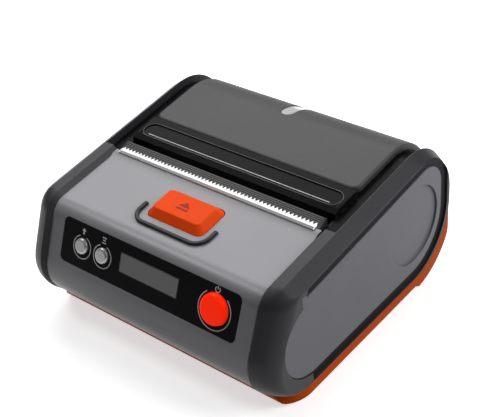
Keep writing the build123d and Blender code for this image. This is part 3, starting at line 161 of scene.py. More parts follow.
def buildWearGroup():
    sizes = [("Radius", edgeWear["radius"]), ("Breakup", edgeWear["breakup"])]
    group, entry, leave = startGroup("edgeWear", sizes, ["Mask"])
    rounded = newNode(group, "ShaderNodeBevel", samples=edgeWear["samples"])
    group.links.new(entry.outputs["Radius"], rounded.inputs["Radius"])
    plain = newNode(group, "ShaderNodeNewGeometry").outputs["Normal"]
    dot = newNode(group, "ShaderNodeVectorMath", operation="DOT_PRODUCT")
    group.links.new(rounded.outputs[0], dot.inputs[0])
    group.links.new(plain, dot.inputs[1])
    edge = rangeNode(group, dot.outputs["Value"], edgeWear["untouched"], edgeWear["rubbed"])
    patches = noiseOf(group, entry.outputs["Breakup"])
    rub = rangeNode(group, patches, edgeWear["patchFrom"], edgeWear["patchTo"])
    group.links.new(mathNode(group, "MULTIPLY", edge, rub, clamp=True), leave.inputs["Mask"])
    return group


# Thin dust and fingermarks: more on what faces up
lightDust = {
    "specks": 900.0, "amount": 0.5, "leastUp": 0.1, "leastShare": 0.25,
    "speckDetail": 2.0, "speckFrom": 0.62, "speckTo": 0.72, "speckShare": 0.6,
    "smears": 38.0, "smearDetail": 5.0, "smearFrom": 0.5, "smearTo": 0.75, "smearShare": 0.5,
}


def buildDustGroup():
    sizes = [("Specks", lightDust["specks"]), ("Amount", lightDust["amount"])]
    group, entry, leave = startGroup("lightDust", sizes, ["Mask"])
    up = newNode(group, "ShaderNodeSeparateXYZ")
    group.links.new(newNode(group, "ShaderNodeNewGeometry").outputs["Normal"], up.inputs[0])
    facing = rangeNode(group, up.outputs["Z"], lightDust["leastUp"], 1.0, lightDust["leastShare"])
    specks = noiseOf(group, entry.outputs["Specks"], lightDust["speckDetail"])
    specks = rangeNode(group, specks, lightDust["speckFrom"], lightDust["speckTo"])
    smears = noiseOf(group, lightDust["smears"], lightDust["smearDetail"])
    smears = rangeNode(group, smears, lightDust["smearFrom"], lightDust["smearTo"])
    speckShare = mathNode(group, "MULTIPLY", specks, lightDust["speckShare"])
    smearShare = mathNode(group, "MULTIPLY", smears, lightDust["smearShare"])
    both = mathNode(group, "ADD", speckShare, smearShare)
    settled = mathNode(group, "MULTIPLY", both, facing)
    dust = mathNode(group, "MULTIPLY", settled, entry.outputs["Amount"], clamp=True)
    group.links.new(dust, leave.inputs["Mask"])
    return group


grainGroup, wearGroup, dustGroup = buildGrainGroup(), buildWearGroup(), buildDustGroup()


def placeGroup(tree, group, **values):
    node = newNode(tree, "ShaderNodeGroup", node_tree=group)
    for name, value in values.items():
        node.inputs[name.replace("_", " ")].default_value = value
    return node


def startMaterial(name):
    material = bpy.data.materials.new(name)
    material.use_nodes = True
    tree = material.node_tree
    return material, tree, tree.nodes["Principled BSDF"]


def roughen(tree, shader, height, strength, depth):
    bump = newNode(tree, "ShaderNodeBump")
    bump.inputs["Strength"].default_value = strength
    bump.inputs["Distance"].default_value = depth
    tree.links.new(height, bump.inputs["Height"])
    tree.links.new(bump.outputs[0], shader.inputs["Normal"])


# What a plastic, paint, rubber or print has where its own look says nothing else
plainLook = {
    "fineness": mouldedGrain["fineness"], "mottleScale": mouldedGrain["mottleScale"], "mottle": 0.06,
    "metallic": 0.0, "specular": 0.5, "coat": 0.0, "coatRoughness": 0.08,
    # The emission entry below is painted light: it brightens a finish though no lamp is inside
    "wear": 0.0, "wearRadius": edgeWear["radius"], "dust": 0.0, "paintedGlow": 0.0,
    "bump": 0.15, "bumpDepth": 0.00006,
}
dusty = {"colour": (0.35, 0.34, 0.33), "rougher": 0.25}
unevenness = 0.08  # share by which the roughness wanders


def plasticFinish(name, look):
    look = {**plainLook, **look}
    material, tree, shader = startMaterial(name)
    colour, rough = look["colour"], look["roughness"]
    grain = placeGroup(tree, grainGroup, Fineness=look["fineness"], Mottle_Scale=look["mottleScale"])
    darker = tuple(c * (1 - look["mottle"]) for c in colour)
    lighter = tuple(min(c * (1 + look["mottle"]), 1) for c in colour)
    shade = mixColour(tree, grain.outputs["Mottle"], darker, lighter)
    if look["wear"]:
        wear = placeGroup(tree, wearGroup, Radius=look["wearRadius"])
        rubbed = tuple(min(c + look["wear"], 1) for c in colour)
        shade = mixColour(tree, wear.outputs["Mask"], shade, rubbed)
    smoothest, roughest = rough * (1 - unevenness), min(rough * (1 + unevenness), 1)
    roughness = rangeNode(tree, grain.outputs["Mottle"], 0.0, 1.0, smoothest, roughest)
    if look["dust"]:
        dust = placeGroup(tree, dustGroup, Amount=look["dust"])
        shade = mixColour(tree, dust.outputs["Mask"], shade, dusty["colour"])
        dulled = mathNode(tree, "MULTIPLY", dust.outputs["Mask"], dusty["rougher"])
        roughness = mathNode(tree, "ADD", roughness, dulled, clamp=True)
    tree.links.new(shade, shader.inputs["Base Color"])
    tree.links.new(roughness, shader.inputs["Roughness"])
    shader.inputs["Metallic"].default_value = look["metallic"]
    shader.inputs["Coat Weight"].default_value = look["coat"]
    shader.inputs["Coat Roughness"].default_value = look["coatRoughness"]
    shader.inputs["Specular IOR Level"].default_value = look["specular"]
    # Painted light: emission in the finish's own colour, brighter than the lamps alone make it
    if look["paintedGlow"]:
        shader.inputs["Emission Color"].default_value = (*colour, 1)
        shader.inputs["Emission Strength"].default_value = look["paintedGlow"]
    roughen(tree, shader, grain.outputs["Height"], look["bump"], look["bumpDepth"])
    return material


brushing = {
    "fineness": 900.0, "darker": 0.82, "bump": 0.12, "bumpDepth": 0.00003,
    "lineFrom": 0.2, "lineTo": 0.8, "spread": 0.25,
    "stainScale": 60.0, "stainDetail": 4.0, "stainFrom": 0.5, "stainTo": 0.9, "stainShare": 0.25,
    "stainColour": (0.3, 0.28, 0.26),
}


# Metal with fine lines: "stretch" is small along them
def brushedFinish(name, colour, roughness, stretch, metallic):
    material, tree, shader = startMaterial(name)
    lines = noiseOf(tree, brushing["fineness"], stretch=stretch)
    stain = noiseOf(tree, brushing["stainScale"], brushing["stainDetail"])
    shade = mixColour(tree, lines, tuple(c * brushing["darker"] for c in colour), colour)
    stain = rangeNode(tree, stain, brushing["stainFrom"], brushing["stainTo"], 0, brushing["stainShare"])
    dulled = mixColour(tree, stain, shade, brushing["stainColour"])
    tree.links.new(dulled, shader.inputs["Base Color"])
    smoothest, roughest = (roughness * (1 + sign * brushing["spread"]) for sign in (-1, 1))
    rough = rangeNode(tree, lines, brushing["lineFrom"], brushing["lineTo"], smoothest, roughest)
    tree.links.new(rough, shader.inputs["Roughness"])
    shader.inputs["Metallic"].default_value = metallic
    roughen(tree, shader, lines, brushing["bump"], brushing["bumpDepth"])
    return material


# The pane's pale tint is painted reflection, standing in for the bright glint of the clear window
paneLook = {
    "paintedReflectionTint": (0.86, 0.87, 0.89), "clear": 0.4, "ior": 1.45,
    "roughness": 0.05, "smearRoughness": 0.15, "smears": 120.0, "smearDetail": 4.0,
    "smearFrom": 0.3, "smearTo": 0.8,
}


def paneWithPaintedReflection(name, look):
    material, tree, shader = startMaterial(name)
    shader.inputs["Base Color"].default_value = (*look["paintedReflectionTint"], 1)
    shader.inputs["Transmission Weight"].default_value = look["clear"]
    shader.inputs["IOR"].default_value = look["ior"]
    smears = noiseOf(tree, look["smears"], look["smearDetail"])
    smooth, rough = look["roughness"], look["smearRoughness"]
    smears = rangeNode(tree, smears, look["smearFrom"], look["smearTo"], smooth, rough)
    tree.links.new(smears, shader.inputs["Roughness"])
    return material


looks = {
    "bumperPlastic": {
        "colour": (0.042, 0.042, 0.047), "roughness": 0.44, "specular": 0.22, "bump": 0.3,
        "wear": 0.03, "dust": 0.05,
    },
    # Painted shade: near-black for the bumper's strip round the side plates, which is dark from shade
    "stripPaintedShade": {
        "colour": (0.014, 0.014, 0.016), "roughness": 0.6, "specular": 0.08, "bump": 0.2, "dust": 0.02,
    },
    "sidePlatePlastic": {
        "colour": (0.19, 0.187, 0.215), "roughness": 0.42, "specular": 0.2, "bump": 0.2,
        "wear": 0.05, "dust": 0.05,
    },
    "silverPaint": {
        "colour": (0.31, 0.305, 0.325), "roughness": 0.3, "metallic": 0.03, "specular": 0.25,
        "fineness": 5200.0, "mottle": 0.03, "bump": 0.1, "wear": 0.06, "dust": 0.04,
    },
    "glossBlack": {
        "colour": (0.006, 0.006, 0.007), "roughness": 0.3, "specular": 0.04,
        "bump": 0.03, "dust": 0.015, "wear": 0.03,
    },
    "coverPlastic": {
        "colour": (0.062, 0.062, 0.065), "roughness": 0.5, "specular": 0.3, "fineness": 1500.0,
        "bump": 0.6, "mottle": 0.12, "wear": 0.06, "dust": 0.05,
    },
    "barPlastic": {
        "colour": (0.035, 0.035, 0.036), "roughness": 0.4, "specular": 0.2, "bump": 0.15, "wear": 0.05,
    },
    "barRibPlastic": {"colour": (0.15, 0.15, 0.148), "roughness": 0.35, "specular": 0.3, "bump": 0.1},
    # Its emission is painted light that brightens the orange base
    "orangeBasePlastic": {
        "colour": (0.66, 0.095, 0.008), "roughness": 0.5, "specular": 0.04, "bump": 0.3,
        "wear": 0.03, "dust": 0.02, "paintedGlow": 0.06,
    },
    # Its emission is painted light that brightens the open key's dim front
    "orangeKeyPlastic": {
        "colour": (0.78, 0.066, 0.007), "roughness": 0.36, "specular": 0.03,
        "bump": 0.08, "wear": 0.06, "paintedGlow": 0.26,
    },
    "orangeMark": {"colour": (0.40, 0.030, 0.006), "roughness": 0.45, "specular": 0.1, "bump": 0.05},
    # Its strong emission is painted light that makes the power key bright
    "redKeyPlastic": {
        "colour": (0.90, 0.018, 0.002), "roughness": 0.3, "specular": 0.06, "coat": 0.06,
        "bump": 0.03, "mottle": 0.03, "paintedGlow": 0.75,
    },
    "silverKeyPlastic": {
        "colour": (0.58, 0.58, 0.59), "roughness": 0.3, "metallic": 0.4, "coat": 0.2,
        "bump": 0.05, "wear": 0.08,
    },
    "innerPlastic": {
        "colour": (0.014, 0.014, 0.015), "roughness": 0.55, "specular": 0.1, "bump": 0.3, "dust": 0.03,
    },
    "nylonPlastic": {"colour": (0.72, 0.70, 0.62), "roughness": 0.42, "bump": 0.1, "mottle": 0.04},
    "rollerRubber": {
        "colour": (0.008, 0.008, 0.008), "roughness": 0.75, "specular": 0.2, "fineness": 3600.0,
        "bump": 0.4, "mottle": 0.15,
    },
    "footRubber": {
        "colour": (0.02, 0.02, 0.021), "roughness": 0.85, "fineness": 1500.0, "bump": 0.5, "dust": 0.3,
    },
    "glazedCeramic": {"colour": (0.78, 0.77, 0.72), "roughness": 0.12, "coat": 0.5, "bump": 0.02},
    "boardMask": {
        "colour": (0.015, 0.13, 0.05), "roughness": 0.35, "coat": 0.3, "bump": 0.05, "mottle": 0.15,
    },
    "batteryWrap": {"colour": (0.03, 0.03, 0.034), "roughness": 0.45, "bump": 0.05},
    "ribbonFilm": {"colour": (0.55, 0.24, 0.05), "roughness": 0.25, "coat": 0.2, "bump": 0.02},
    # Its emission is painted light that brightens the printed marks
    "printedGrey": {
        "colour": (0.66, 0.66, 0.66), "roughness": 0.45, "specular": 0.2, "bump": 0.02,
        "mottle": 0.02, "paintedGlow": 0.08,
    },
    # Painted highlight: the light line along the fold of the lid's lip
    "foldHighlightGrey": {
        "colour": (0.55, 0.55, 0.56), "roughness": 0.35, "specular": 0.4, "bump": 0.02, "mottle": 0.02,
    },
    "bladeGrey": {
        "colour": (0.26, 0.26, 0.262), "roughness": 0.4, "specular": 0.2, "bump": 0.02, "mottle": 0.05,
    },
    # Grey of the display's frame line, and on the lid's lip a painted highlight along the edge of its sunk
    # panel
    "frameLineAndLipHighlight": {
        "colour": (0.085, 0.085, 0.087), "roughness": 0.35, "specular": 0.4, "bump": 0.02, "mottle": 0.02,
    },
    "displayGlass": {
        "colour": (0.36, 0.36, 0.365), "roughness": 0.3, "specular": 0.15, "bump": 0.02, "mottle": 0.02,
    },
    # Painted shade: near-black for the raised loop round the open button, standing in for the shadow on its
    # walls
    "ridgePaintedShade": {
        "colour": (0.03, 0.03, 0.033), "roughness": 0.4, "specular": 0.2, "bump": 0.1, "wear": 0.08,
    },
}
finishes = {name: plasticFinish(name, look) for name, look in looks.items()}
metals = {  # colour, roughness, stretch of the brushing, metallic
    "bladeSteel": ((0.80, 0.80, 0.80), 0.34, (0.1, 1, 1), 0.3),
    "shaftSteel": ((0.62, 0.62, 0.63), 0.28, (0.1, 1, 1), 1.0),
    "sheetSteel": ((0.55, 0.55, 0.56), 0.35, (1, 1, 0.15), 1.0),
    "heatsinkAlloy": ((0.72, 0.72, 0.74), 0.38, (0.1, 1, 1), 1.0),
}
finishes.update({name: brushedFinish(name, *look) for name, look in metals.items()})
finishes["clearPane"] = paneWithPaintedReflection("clearPane", paneLook)
print("finishes:", len(finishes))


# The parts of the frame, in their finishes

slopes = {"face": 24.0, "top": 6.05}  # the front face leans back, the top falls to the front
faceOut = Vector((0, -cos(radians(slopes["face"])), sin(radians(slopes["face"]))))
topOut = Vector((0, -sin(radians(slopes["top"])), cos(radians(slopes["top"]))))

easing = {
    "merge": 2e-6, "flatten": radians(0.4),  # points and faces that count as one
    "sharp": radians(32), "steps": 2, "rollSteps": 5,
}


def settle(piece, *replaced, body=None, slot=None):
    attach(piece, body or bodyOfNode[replaced[0]])
    if replaced:
        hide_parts(*replaced)


# A smooth-shaded copy of a part with eased edges, which stands for it
# "rolled" gives the edges with a wide roll and its width, "painted" a second finish and where it goes
def dressPart(node, finish, ease, rolled=None, painted=None):
    mesh = nodes[node].data.copy()
    mesh.name = node
    mesh.materials.clear()
    mesh.materials.append(finishes[finish])
    if painted:
        mesh.materials.append(finishes[painted[0]])
    build = bmesh.new()
    build.from_mesh(mesh)
    bmesh.ops.remove_doubles(build, verts=build.verts, dist=easing["merge"])
    bmesh.ops.dissolve_limit(build, angle_limit=easing["flatten"], verts=build.verts, edges=build.edges)
    sharp = easing["sharp"]
    if rolled:
        chosen, width = rolled
        turning = [edge for edge in build.edges if edge.is_manifold and edge.calc_face_angle(0) > sharp]
        wide = [edge for edge in turning if chosen((edge.verts[0].co + edge.verts[1].co) / 2 / mm, edge)]
        bmesh.ops.bevel(
            build, geom=wide, offset=width * mm, offset_type="OFFSET", segments=easing["rollSteps"],
            profile=0.5, affect="EDGES", clamp_overlap=False
        )
    for face in build.faces:
        face.smooth = True
        second = painted and painted[1](face.calc_center_median() / mm, face.normal)
        face.material_index = 1 if second else 0
    for edge in build.edges:
        edge.smooth = edge.is_manifold and edge.calc_face_angle(0) < sharp
    build.to_mesh(mesh)
    build.free()
    piece = addObject("dressed_" + node, mesh)
    if ease:
        bevel = piece.modifiers.new("easedEdges", "BEVEL")
        bevel.width = ease * mm
        bevel.segments = easing["steps"]
        bevel.limit_method = "ANGLE"
        bevel.angle_limit = sharp
        bevel.use_clamp_overlap = True
        bevel.miter_outer = "MITER_ARC"
    evened = piece.modifiers.new("evenShading", "WEIGHTED_NORMAL")  # large flat faces stay flat
    evened.keep_sharp = True
    settle(piece, node)


dressing = {  # finish, and width of the eased edges in mm
    "base_shell": ("orangeBasePlastic", 0.3), "battery_door": ("orangeBasePlastic", 0.2),
    "foot_pads": ("footRubber", 0.15), "base_screws": ("shaftSteel", 0.1),
    "bumper_left": ("bumperPlastic", 0.35), "bumper_right": ("bumperPlastic", 0.35),
    "side_panel_left": ("sidePlatePlastic", 0.2), "side_panel_right": ("sidePlatePlastic", 0.2),
    "front_shell": ("silverPaint", 0.2), "rear_shell": ("bumperPlastic", 0.3),
    "control_panel": ("glossBlack", 0.12), "lcd_window": ("displayGlass", 0.05),
    "open_button": ("orangeKeyPlastic", 0.3), "feed_button": ("silverKeyPlastic", 0.0),
    "config_button": ("silverKeyPlastic", 0.0), "power_button": ("redKeyPlastic", 0.0),
    "tear_blade": ("bladeSteel", 0.04), "blade_holder": ("barPlastic", 0.15),
    "lid_frame": ("glossBlack", 0.25), "lid_cover": ("coverPlastic", 0.2), "lid_window": ("clearPane", 0.1),
    "paper_well": ("innerPlastic", 0.2), "chassis": ("innerPlastic", 0.2),
    "platen_rubber": ("rollerRubber", 0.2), "platen_shaft": ("shaftSteel", 0.15),
    "platen_gear": ("nylonPlastic", 0.05), "idler_gear": ("nylonPlastic", 0.05),
    "motor_pinion": ("nylonPlastic", 0.05), "platen_bushings": ("nylonPlastic", 0.1),
    "feed_motor": ("sheetSteel", 0.0), "latch_bar": ("sheetSteel", 0.1), "latch_pin": ("shaftSteel", 0.1),
    "hinge_pin": ("shaftSteel", 0.15), "head_pin": ("shaftSteel", 0.1), "print_head": ("glazedCeramic", 0.08),
    "head_heatsink": ("heatsinkAlloy", 0.2), "head_ribbon": ("ribbonFilm", 0.0),
    "guide_left": ("innerPlastic", 0.2), "guide_right": ("innerPlastic", 0.2),
    "guide_pinion": ("nylonPlastic", 0.05),
    "hub_left": ("nylonPlastic", 0.2), "hub_right": ("nylonPlastic", 0.2),
    "main_board": ("boardMask", 0.05), "panel_board": ("boardMask", 0.05),
    "lcd_module": ("displayGlass", 0.05), "key_switches": ("innerPlastic", 0.1),
    "side_frame_left": ("innerPlastic", 0.2), "side_frame_right": ("innerPlastic", 0.2),
    "guide_rack_left": ("innerPlastic", 0.0), "guide_rack_right": ("innerPlastic", 0.0),
    "usb_socket": ("shaftSteel", 0.05), "paper_sensor": ("innerPlastic", 0.1),
    "cover_switch": ("innerPlastic", 0.1), "battery_pack": ("batteryWrap", 0.3),
    "head_springs": ("shaftSteel", 0.0),
}


# Height of the largest flat region of a node that faces one way, and its middle on that plane
def flatRegion(node, outward, alike=0.9999, step=0.05 * mm):
    found = {}
    for face in nodes[node].data.polygons:
        if face.normal.dot(outward) > alike:
            middle, area = face.center, face.area
            entry = found.setdefault(round(middle.dot(outward) / step), [0.0, Vector(), 0.0])
            entry[0] += area
            entry[1] += middle * area
            entry[2] += middle.dot(outward) * area
    area, middle, height = max(found.values(), key=lambda entry: entry[0])
    height, middle = height / area, middle / area
    return height, middle + outward * (height - middle.dot(outward))


# Second finishes, both painted shade: the raised loop round the open button and the sunk strip round the side
# plates are coloured dark for the shade on them
ridgeReach = {"behind": 1.0, "above": 0.1}              # mm
sunkStrip = {"x": 57.1, "slack": 0.2, "outward": 0.95}  # mm, and the least x of its normal
shellTop = flatRegion("front_shell", topOut)[0]
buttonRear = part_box("open_button")[1].y


def onRidge(middle, outward):
    high = middle.dot(topOut) > shellTop / mm + ridgeReach["above"]
    return high and middle.y < buttonRear / mm + ridgeReach["behind"]


# The faces of the strip that take the painted shade
def onStrip(middle, outward):
    sunk = abs(abs(middle.x) - sunkStrip["x"]) < sunkStrip["slack"]
    return sunk and abs(outward.x) > sunkStrip["outward"]


# Edges with a wide roll: round the cover's top, and along the base's outer lower edge, in mm
coverRoll = {"width": 1.2, "notch": 6, "front": 5, "upwards": 0.25, "rearwards": 0.5}
baseRoll = {"width": 2.2, "level": 0.05, "side": 4, "front": 8, "rear": 3}
baseLow, baseHigh = (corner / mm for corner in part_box("base_shell"))
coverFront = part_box("lid_cover")[0].y / mm


def onCoverRoll(middle, edge):
    normals = [face.normal for face in edge.link_faces]
    upper = any(n.z > coverRoll["upwards"] or n.y > coverRoll["rearwards"] for n in normals)
    return upper and (abs(middle.x) > coverRoll["notch"] or middle.y < coverFront + coverRoll["front"])


def onBaseRoll(middle, edge):
    level = all(vertex.co.z < (baseLow.z + baseRoll["level"]) * mm for vertex in edge.verts)
    atSide = abs(middle.x) > baseHigh.x - baseRoll["side"]
    atEnd = middle.y < baseLow.y + baseRoll["front"] or middle.y > baseHigh.y - baseRoll["rear"]
    return level and (atSide or atEnd)


special = {
    "front_shell": {"painted": ("ridgePaintedShade", onRidge)},
    "bumper_left": {"painted": ("stripPaintedShade", onStrip)}, "bumper_right": {"painted": ("stripPaintedShade", onStrip)},
    "lid_cover": {"rolled": (onCoverRoll, coverRoll["width"])},
    "base_shell": {"rolled": (onBaseRoll, baseRoll["width"])},
}
for node, (finish, ease) in dressing.items():
    dressPart(node, finish, ease, **special.get(node, {}))
print("dressed parts:", len(dressing))


# Made pieces, with Geometry Nodes for what repeats or follows a path

def startTree(name, inputs):
    tree = bpy.data.node_groups.new(name, "GeometryNodeTree")
    tree.interface.new_socket(name="Geometry", in_out="OUTPUT", socket_type="NodeSocketGeometry")
    for label, default in inputs:
        kind = "NodeSocketInt" if isinstance(default, int) else "NodeSocketFloat"
        tree.interface.new_socket(name=label, in_out="INPUT", socket_type=kind).default_value = default
    tree.interface.new_socket(name="Finish", in_out="INPUT", socket_type="NodeSocketMaterial")
    return tree, newNode(tree, "NodeGroupInput"), newNode(tree, "NodeGroupOutput")


def endTree(tree, entry, leave, shape):
    realised = newNode(tree, "GeometryNodeRealizeInstances")
    finish = newNode(tree, "GeometryNodeSetMaterial")
    tree.links.new(shape, realised.inputs[0])
    tree.links.new(realised.outputs[0], finish.inputs["Geometry"])
    tree.links.new(entry.outputs["Finish"], finish.inputs["Material"])
    tree.links.new(finish.outputs[0], leave.inputs[0])
    return tree


# A printed line, rectangular in section, along a curve
def lineAlong(tree, entry, curve):
    section = newNode(tree, "GeometryNodeCurvePrimitiveQuadrilateral")
    tree.links.new(entry.outputs["Line Width"], section.inputs["Width"])
    tree.links.new(entry.outputs["Line Height"], section.inputs["Height"])
    sweep = newNode(tree, "GeometryNodeCurveToMesh")
    tree.links.new(curve, sweep.inputs["Curve"])
    tree.links.new(section.outputs[0], sweep.inputs["Profile Curve"])
    sweep.inputs["Fill Caps"].default_value = True
    return sweep.outputs[0]


def buildArcTree():
    line = [("Line Width", 0.4 * mm), ("Line Height", 0.05 * mm)]
    sizes = [("Radius", 4.3 * mm), ("Start", 0.0), ("Sweep", 5.0), ("Steps", 64)]
    tree, entry, leave = startTree("printedArc", sizes + line)
    arc = newNode(tree, "GeometryNodeCurveArc", mode="RADIUS")
    tree.links.new(entry.outputs["Steps"], arc.inputs["Resolution"])
    tree.links.new(entry.outputs["Radius"], arc.inputs["Radius"])
    tree.links.new(entry.outputs["Start"], arc.inputs["Start Angle"])
    tree.links.new(entry.outputs["Sweep"], arc.inputs["Sweep Angle"])
    return endTree(tree, entry, leave, lineAlong(tree, entry, arc.outputs[0]))


def buildOutlineTree():
    line = [("Line Width", 0.3 * mm), ("Line Height", 0.1 * mm)]
    sizes = [("Width", 90 * mm), ("Depth", 8 * mm), ("Corner", 4 * mm), ("Steps", 10)]
    tree, entry, leave = startTree("recessOutline", sizes + line)
    path = newNode(tree, "GeometryNodeCurvePrimitiveQuadrilateral")
    tree.links.new(entry.outputs["Width"], path.inputs["Width"])
    tree.links.new(entry.outputs["Depth"], path.inputs["Height"])
    rounded = newNode(tree, "GeometryNodeFilletCurve", mode="POLY")
    tree.links.new(path.outputs[0], rounded.inputs["Curve"])
    tree.links.new(entry.outputs["Corner"], rounded.inputs["Radius"])
    tree.links.new(entry.outputs["Steps"], rounded.inputs["Count"])
    return endTree(tree, entry, leave, lineAlong(tree, entry, rounded.outputs[0]))


def buildRibTree():
    rib = [("Rib Width", 0.3 * mm), ("Rib Height", 0.2 * mm)]
    sizes = [("Count", 5), ("Pitch", 0.8 * mm), ("Length", 90 * mm)]
    tree, entry, leave = startTree("barRibs", sizes + rib)
    step = newNode(tree, "ShaderNodeCombineXYZ")
    tree.links.new(entry.outputs["Pitch"], step.inputs["Y"])
    row = newNode(tree, "GeometryNodeMeshLine", mode="OFFSET")
    tree.links.new(entry.outputs["Count"], row.inputs["Count"])
    tree.links.new(step.outputs[0], row.inputs["Offset"])
    size = newNode(tree, "ShaderNodeCombineXYZ")
    for label, socket in (("Length", "X"), ("Rib Width", "Y"), ("Rib Height", "Z")):
        tree.links.new(entry.outputs[label], size.inputs[socket])
    rib = newNode(tree, "GeometryNodeMeshCube")
    tree.links.new(size.outputs[0], rib.inputs["Size"])
    spread = newNode(tree, "GeometryNodeInstanceOnPoints")
    tree.links.new(row.outputs[0], spread.inputs["Points"])
    tree.links.new(rib.outputs[0], spread.inputs["Instance"])
    return endTree(tree, entry, leave, spread.outputs[0])


arcTree, outlineTree, ribTree = buildArcTree(), buildOutlineTree(), buildRibTree()


# Mesh of a tree with its own sizes, put in its place
def growMesh(tree, finish, place, **values):
    holder = addObject(tree.name, bpy.data.meshes.new(tree.name))
    modifier = holder.modifiers.new("grow", "NODES")
    modifier.node_group = tree
    sockets = {item.name: item.identifier for item in tree.interface.items_tree if item.in_out == "INPUT"}
    modifier[sockets["Finish"]] = finishes[finish]
    for label, value in values.items():
        modifier[sockets[label.replace("_", " ")]] = value
    bpy.context.view_layer.update()
    shape = holder.evaluated_get(bpy.context.evaluated_depsgraph_get())
    mesh = bpy.data.meshes.new_from_object(shape)
    bpy.data.objects.remove(holder)
    mesh.transform(place)
    return mesh


# The named sizes of a dictionary, or all of them, from mm to metres
def inMetres(sizes, *labels):
    return {label: sizes[label] * mm for label in labels or sizes}


def prismMesh(outline, thickness, place):
    build = bmesh.new()
    low = [build.verts.new((x * mm, y * mm, 0)) for x, y in outline]
    high = [build.verts.new((x * mm, y * mm, thickness * mm)) for x, y in outline]
    build.faces.new(low[::-1])
    build.faces.new(high)
    for first in range(len(low)):
        second = (first + 1) % len(low)
        build.faces.new((low[first], low[second], high[second], high[first]))
    build.transform(place)
    mesh = bpy.data.meshes.new("prism")
    build.to_mesh(mesh)
    build.free()
    return mesh


# One piece from several meshes, closed and with its faces outwards
def joinPiece(name, finish, meshes, like):
    build = bmesh.new()
    for mesh in meshes:
        build.from_mesh(mesh)
    bmesh.ops.remove_doubles(build, verts=build.verts, dist=1e-6)
    bmesh.ops.recalc_face_normals(build, faces=build.faces)
    joined = bpy.data.meshes.new(name)
    build.to_mesh(joined)
    build.free()
    joined.materials.append(finishes[finish])
    for face in joined.polygons:
        face.material_index = 0
    settle(addObject(name, joined), body=bodyOfNode[like], slot=slotOfNode[like])


# Place of something flat on a face, "lift" mm above it
def placeOn(outward, middle, lift=0.0):
    right = Vector((1, 0, 0))
    up = outward.cross(right)
    turn = Matrix((right, up, outward)).transposed().to_4x4()
    return Matrix.Translation(middle + outward * lift * mm) @ turn


# Printed rings and small signs on the control panel
panelPrint = {
    "thickness": 0.05, "lift": 0.03,
    "smallRing": {"Radius": 4.3, "Start": 112, "Sweep": 316, "Line_Width": 0.36},
    "powerRing": {"Radius": 6.9, "Start": 128, "Sweep": 282, "Line_Width": 0.36},
    "smallSign": 6.1, "powerSign": 7.4,  # above the middle of the key
    "arrow": [(-0.4, -1.15), (0.4, -1.15), (0.4, 0.1), (1.1, 0.1), (0, 1.2), (-1.1, 0.1), (-0.4, 0.1)],
    "bars": [(-0.95, 2.0), (0.0, 1.3), (0.95, 2.0)], "barHalf": 0.2,  # height and width of each
    "powerArc": {"Radius": 1.0, "Start": 125, "Sweep": 290, "Line_Width": 0.32, "Steps": 24},
    "powerStroke": (0.32, 0.15, 1.35),  # width, bottom, top
}


def rectangle(width, low, high):
    return [(-width / 2, low), (width / 2, low), (width / 2, high), (-width / 2, high)]


def keyOnPanel(node, middle):
    low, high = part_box(node)
    centre = (low + high) / 2
    return centre - faceOut * (centre - middle).dot(faceOut)


def arcOnFace(sizes, place):
    return growMesh(
        arcTree, "printedGrey", place, Line_Height=panelPrint["thickness"] * mm,
        Start=radians(sizes["Start"]), Sweep=radians(sizes["Sweep"]), Steps=sizes.get("Steps", 72),
        **inMetres(sizes, "Radius", "Line_Width")
    )


def makePanelPrint():
    middle = flatRegion("control_panel", faceOut)[1]
    thickness, lift, half = (panelPrint[size] for size in ("thickness", "lift", "barHalf"))
    meshes = []
    for node in ("feed_button", "config_button", "power_button"):
        power = node == "power_button"
        centre = keyOnPanel(node, middle)
        ring = panelPrint["powerRing" if power else "smallRing"]
        meshes.append(arcOnFace(ring, placeOn(faceOut, centre, lift)))
        rise = panelPrint["powerSign" if power else "smallSign"]
        sign = placeOn(faceOut, centre) @ Matrix.Translation((0, rise * mm, lift * mm))
        flat = sign @ Matrix.Translation((0, 0, -thickness * mm / 2))
        if node == "feed_button":
            meshes.append(prismMesh(panelPrint["arrow"], thickness, flat))
        elif node == "config_button":
            for y, width in panelPrint["bars"]:
                meshes.append(prismMesh(rectangle(width, y - half, y + half), thickness, flat))
        else:
            meshes.append(arcOnFace(panelPrint["powerArc"], sign))
            meshes.append(prismMesh(rectangle(*panelPrint["powerStroke"]), thickness, flat))
    joinPiece("panelPrint", "printedGrey", meshes, "control_panel")


# Frame line round the display
displayLine = {
    "Corner": 0.4, "Line_Width": 0.3, "Line_Height": 0.06, "Steps": 4, "lift": 0.02,
    "sideInset": 0.15, "topInset": 0.5,
}


def makeDisplayLine():
    middle = flatRegion("lcd_window", faceOut)[1]
    low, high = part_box("lcd_window")
    wide = high.x - low.x - displayLine["sideInset"] * mm
    tall = (high.z - low.z) / cos(radians(slopes["face"])) - displayLine["topInset"] * mm
    mesh = growMesh(
        outlineTree, "frameLineAndLipHighlight", placeOn(faceOut, middle, displayLine["lift"]), Width=wide, Depth=tall,
        Steps=displayLine["Steps"], **inMetres(displayLine, "Corner", "Line_Width", "Line_Height")
    )
    joinPiece("displayLine", "frameLineAndLipHighlight", [mesh], "lcd_window")


# Sign on the open button: a lid that lifts off a bar
openSign = {
    "thickness": 0.12, "bar": rectangle(5.2, -1.9, -1.1),
    "wedge": [(-2.6, -0.3), (2.6, -0.3), (0, 2.1)],
}


def makeOpenSign():
    place = placeOn(topOut, flatRegion("open_button", topOut)[1], -openSign["thickness"] / 2)
    meshes = [prismMesh(openSign[shape], openSign["thickness"], place) for shape in ("bar", "wedge")]
    joinPiece("openSign", "orangeMark", meshes, "open_button")


